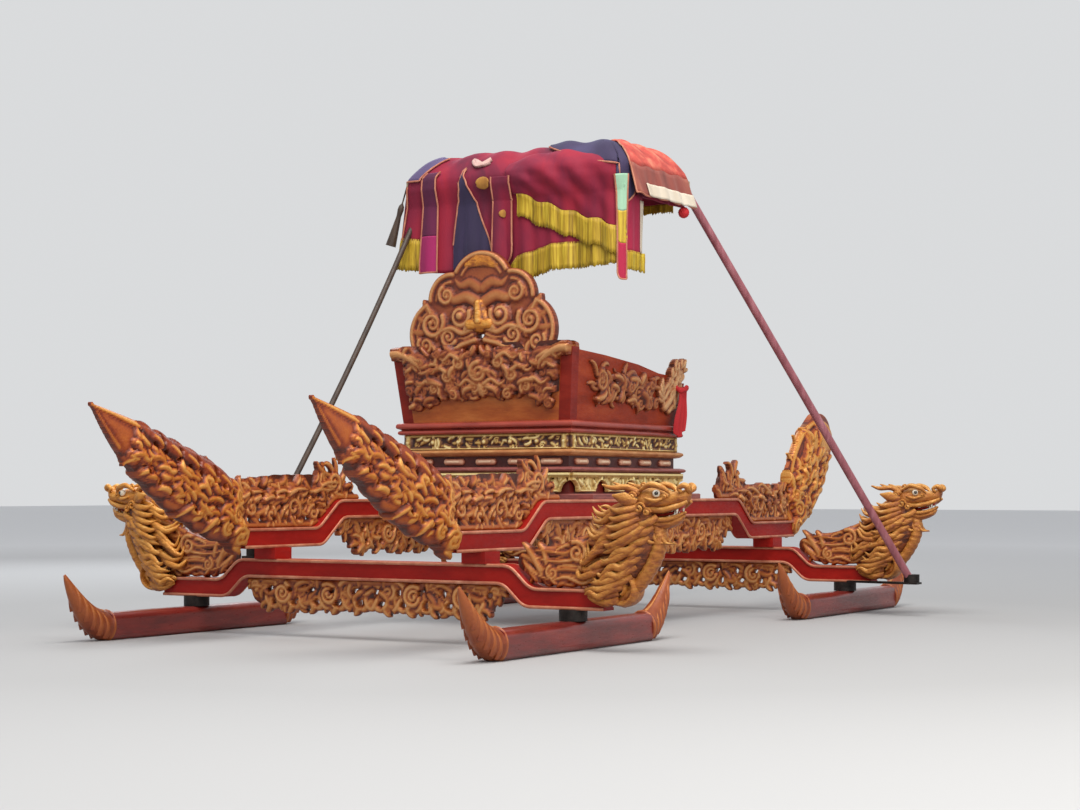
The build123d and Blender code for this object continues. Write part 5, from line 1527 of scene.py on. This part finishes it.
# A darker copy of the coral brocade: painted shade for the lower part of that cloth.
coral_painted_shade = velvet("coral_brocade_painted_shade", [(0.3, "5e2a26"), (0.5, "8a4238"), (0.66, "a5604c"), (0.78, "c49078")],
                0.2, "ffd0c0", 9)
cream = velvet("cream_cloth", [(0.3, "c9bba6"), (0.7, "e0d6c4")], 0.1, "ffffff", 12)
cherry = velvet("cherry_cloth", [(0.3, "8a1234"), (0.7, "b01c42")], 0.2, "ff90b0", 12)
pale_green = velvet("pale_green_cloth", [(0.3, "86b294"), (0.7, "a9cdb0")], 0.1, "ffffff", 12)
piping_gold = velvet("piping_cord", [(0.3, "a05a46"), (0.7, "c48468")], 0.1, "ffe0c0", 60)

swag_start, swag_end, swag_run = 0.44, 0.885, 0.445
p = np.linspace(swag_start, swag_end, 120)
share = (p - swag_start) / swag_run
swag_hem = 0.055 + 0.165 * share ** 0.85 + 0.006 * np.sin(9 * np.pi * share)
ends = np.sin(np.pi * np.clip(share, 0.02, 0.98)) ** 0.7
swag = proud(p, -0.03 - 0.04 * np.sin(np.pi * share), swag_hem, 0.004, 30, 0.012 * ends)
down_swag = np.linspace(0, 1, 30)[:, None]
swag[..., 1] -= 0.006 * ends * np.sin(np.pi * down_swag) * (1 + np.sin(19 * share[None] - 13 * down_swag))
hung("swag", swag, crimson)
tassels = np.linspace(0.480, swag_end, 30)
fringe("fringe_swag", tassels, np.interp(tassels, p, swag_hem) - 0.004, np.linspace(0.082, 0.098, 30),
       0.008, dice)

cord_radius = 0.0032
fling_drop = 0.12


def sewn(name, shells, material):
    """A soft trimming from closed shells."""
    return add_piece(name, shells, material, [], "velvet", gilded=False)


def piping(name, *lines):
    """Cords sewn along a cloth's edges."""
    aside = (0.31, 0.22, 0.93)
    shells = [closed_tube(tube(line, cord_radius, cord_radius, aside, sides=6), 0.5) for line in lines]
    sewn(name, shells, piping_gold)


def flung(points):
    """A cloth whose lower part stands off the canopy: it moves out and up with its drop below
    the eave, as far as fling_drop."""
    return points + np.clip(points[..., 2:] - eave_level, -fling_drop, 0) / -fling_drop * [0.034, 0, 0.012]


p = np.linspace(0.60, 0.985, 110)
lower = np.interp(p, [0.60, 0.66, 0.74, 0.83, 0.89, 0.905, 0.95, 0.985],
                  [-0.10, -0.055, -0.012, 0.0, 0.008, 0.14, 0.13, 0.10])
navy_cloth = proud(p, -0.30, lower, 0.009, 34)
hung("navy_cloth", navy_cloth, navy)
p = np.linspace(0.945, 1.372, 110)
coral_cloth = flung(proud(p, -0.30, 0.118 + 0.004 * np.sin(2 * np.pi * p / 0.11), 0.012, 34, 0.004))
hung("coral_cloth", coral_cloth[:25], coral)
# The cloth's lower rows take the darker copy, as painted shade below the lit top.
hung("coral_cloth_painted_shade", coral_cloth[24:], coral_painted_shade)
cream_band = flung(proud(np.linspace(1.02, 1.368, 80), 0.070, 0.120, 0.019, 8))
hung("cream_band", cream_band, cream)
side_flap = proud(np.linspace(0.938, 1.055, 34), 0.10, 0.305, 0.006, 16)
hung("side_flap", side_flap, cherry)
flap_band = proud(np.linspace(1.028, 1.057, 12), 0.12, 0.300, 0.010, 16)
hung("flap_band", flap_band, cream)
fringe("fringe_flap", np.array([0.93, 1.075]), 0.300, 0.066, 0.006, dice)

banner_cords = []
for label, start, end, head, foot, point, out, dyes in (
        ("left", 0.085, 0.142, -0.02, 0.335, 0.0, 0.008, ((0, plum), (0.62, magenta))),
        ("middle", 0.385, 0.458, 0.014, 0.322, 0.045, 0.013, ((0, crimson),)),
        ("corner", 0.880, 0.934, 0.040, 0.402, 0.024, 0.016,
         ((0, pale_green), (0.36, thread_gold), (0.66, cherry)))):
    p = np.linspace(start, end, 26)
    middle_share = np.abs(2 * (p - start) / (end - start) - 1)
    foot_line = foot - point * (1 - np.sqrt(np.clip(1 - middle_share ** 2, 0, 1)))
    cuts = [cut for cut, dye in dyes] + [1]
    whole = proud(p, head, foot_line, out, 60)
    for (cut, dye), until in zip(dyes, cuts[1:]):
        rows = whole[round(cut * 59):round(until * 59) + 1]
        name = f"banner_{label}" if len(dyes) == 1 else f"banner_{label}_{round(cut * 100)}"
        hung(name, rows, dye)
    banner_cords.append(np.concatenate([whole[:, 0], whole[-1, 1:-1], whole[::-1, -1]]))
piping("banner_cords", *banner_cords)

gap_start, gap_end, gap_run = 0.200, 0.382, 0.182
p = np.linspace(gap_start, gap_end, 50)
gap_top = np.interp((p - gap_start) / gap_run, [0, 0.28, 0.60, 1], [0.24, -0.030, 0.10, 0.30])
gap = proud(p, np.minimum(gap_top, 0.32), 0.330, 0.006, 24)
hung("navy_gusset", gap, navy)
left_slope = proud(np.linspace(0.012, 0.070, 24), -0.11, 0.004, 0.006, 12)
hung("blue_corner", left_slope, pale_blue)
oval = np.sqrt(1 - np.linspace(-0.98, 0.98, 16) ** 2)
patch = proud(np.linspace(0.322, 0.378, 16), 0.030 - 0.020 * oval, 0.030 + 0.020 * oval, 0.014, 12, 0.003)
mark = proud(np.linspace(0.404, 0.434, 16), 0.144 - 0.014 * oval, 0.144 + 0.014 * oval, 0.017, 12, 0.002)
patch_gold = velvet("patch_gold", [(0.3, "84501f"), (0.7, "b88437")], 0.1, "ffe0a0", 30)
hung("gold_patch", patch, patch_gold)
hung("gold_mark", mark, patch_gold)
tie_pink = velvet("tie_cloth", [(0.3, "b58a84"), (0.7, "d9b8ae")], 0.1, "ffffff", 20)
tie_thick = 0.014 - 0.008 * np.abs(np.linspace(-1, 1, 24))
shells = []
for k in (0, 0.8):
    line = drape(np.linspace(0.258, 0.350, 24), -0.040 + 0.015 * np.sin(np.linspace(-1.5, 2.5, 24) + k))
    shells.append(closed_tube(tube(line + [0, 0, 0.010], tie_thick, 0.008, (0, 1, 0.3), sides=8), 0.5))
sewn("tie_cloth", shells, tie_pink)
piping("cloth_cords", navy_cloth[-1], coral_cloth[:, 0], coral_cloth[-1], gap[0], left_slope[-1],
       left_slope[:, -1], proud(np.array([0.022, 0.023]), 0.02, 0.21, 0.006)[:, 0])
down = np.linspace(0, 1, 20)
threads = drape(np.array(0.0), np.array(0.004)) - down[:, None] * [0.070, 0.010, 0.225]
stout = np.interp(down, [0, 0.33, 0.37, 0.44, 0.50, 1], [0.003, 0.003, 0.011, 0.013, 0.009, 0.021])
sewn("tassel", [closed_tube(tube(threads, stout, 0.9 * stout, sides=14), 0.5)], rear_pole_brown)

# Pompom. A ball of red wool, tied and clipped so that it is tufted all over, hangs under the
# brocade's front corner.
scarlet = velvet("scarlet_cloth", [(0.3, "a3141c"), (0.7, "cf2a30")], 0.2, "ff9090", 12)
turns = np.linspace(0, 2 * np.pi, 49)[None, :-1]
height = np.linspace(0.02, np.pi - 0.02, 24)[:, None]
radius = 0.019 + 0.0022 * np.sin(11 * turns + 3 * height) * np.sin(9 * height)
x, y, z = drape(np.array(1.312), np.array(0.130)) + [0.030, 0, 0]
ball = spots(x + radius * np.sin(height) * np.cos(turns), y + radius * np.sin(height) * np.sin(turns),
             z + radius * np.cos(height) + 0 * turns)
sewn("pompom", [closed_tube(ball, 0.5)], scarlet)

# Sash. A strip of bright red cloth is tied round the right arm terminal and hangs down outside
# the side board in a few folds.
drop = np.linspace(0, 1, 44)[:, None]
across = np.linspace(-1, 1, 26)[None]
width = 0.026 + 0.018 * drop ** 0.7 - 0.006 * np.sin(np.pi * drop * 2.2)
folds = 0.0060 * np.sin(across * 9 + 1.5 * np.sin(3 * drop)) * (0.4 + 0.6 * drop)
sash_points = spots(0.406 - 0.014 * drop + folds,
                    middle_y + 0.346 + width * across + 0.006 * np.sin(4 * drop),
                    0.872 - 0.172 * drop - 0.014 * np.cos(across * 2.6 + 0.6) * drop)
sash = hung("arm_sash_cloth", sash_points, scarlet, 0.0024)
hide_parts("arm_sash")
ring = np.linspace(0, 2 * np.pi, 40)
knot_path = spots(0.394 + 0.018 * np.cos(ring), middle_y + 0.350 + 0.030 * np.sin(ring),
                  0.870 + 0.006 * np.sin(2 * ring))
knot = tube(knot_path, 0.010 + 0.002 * np.sin(5 * ring), 0.008, (0, 0, 1), sides=10)
sewn("sash_knot", [closed_tube(knot, 0.5)], scarlet)
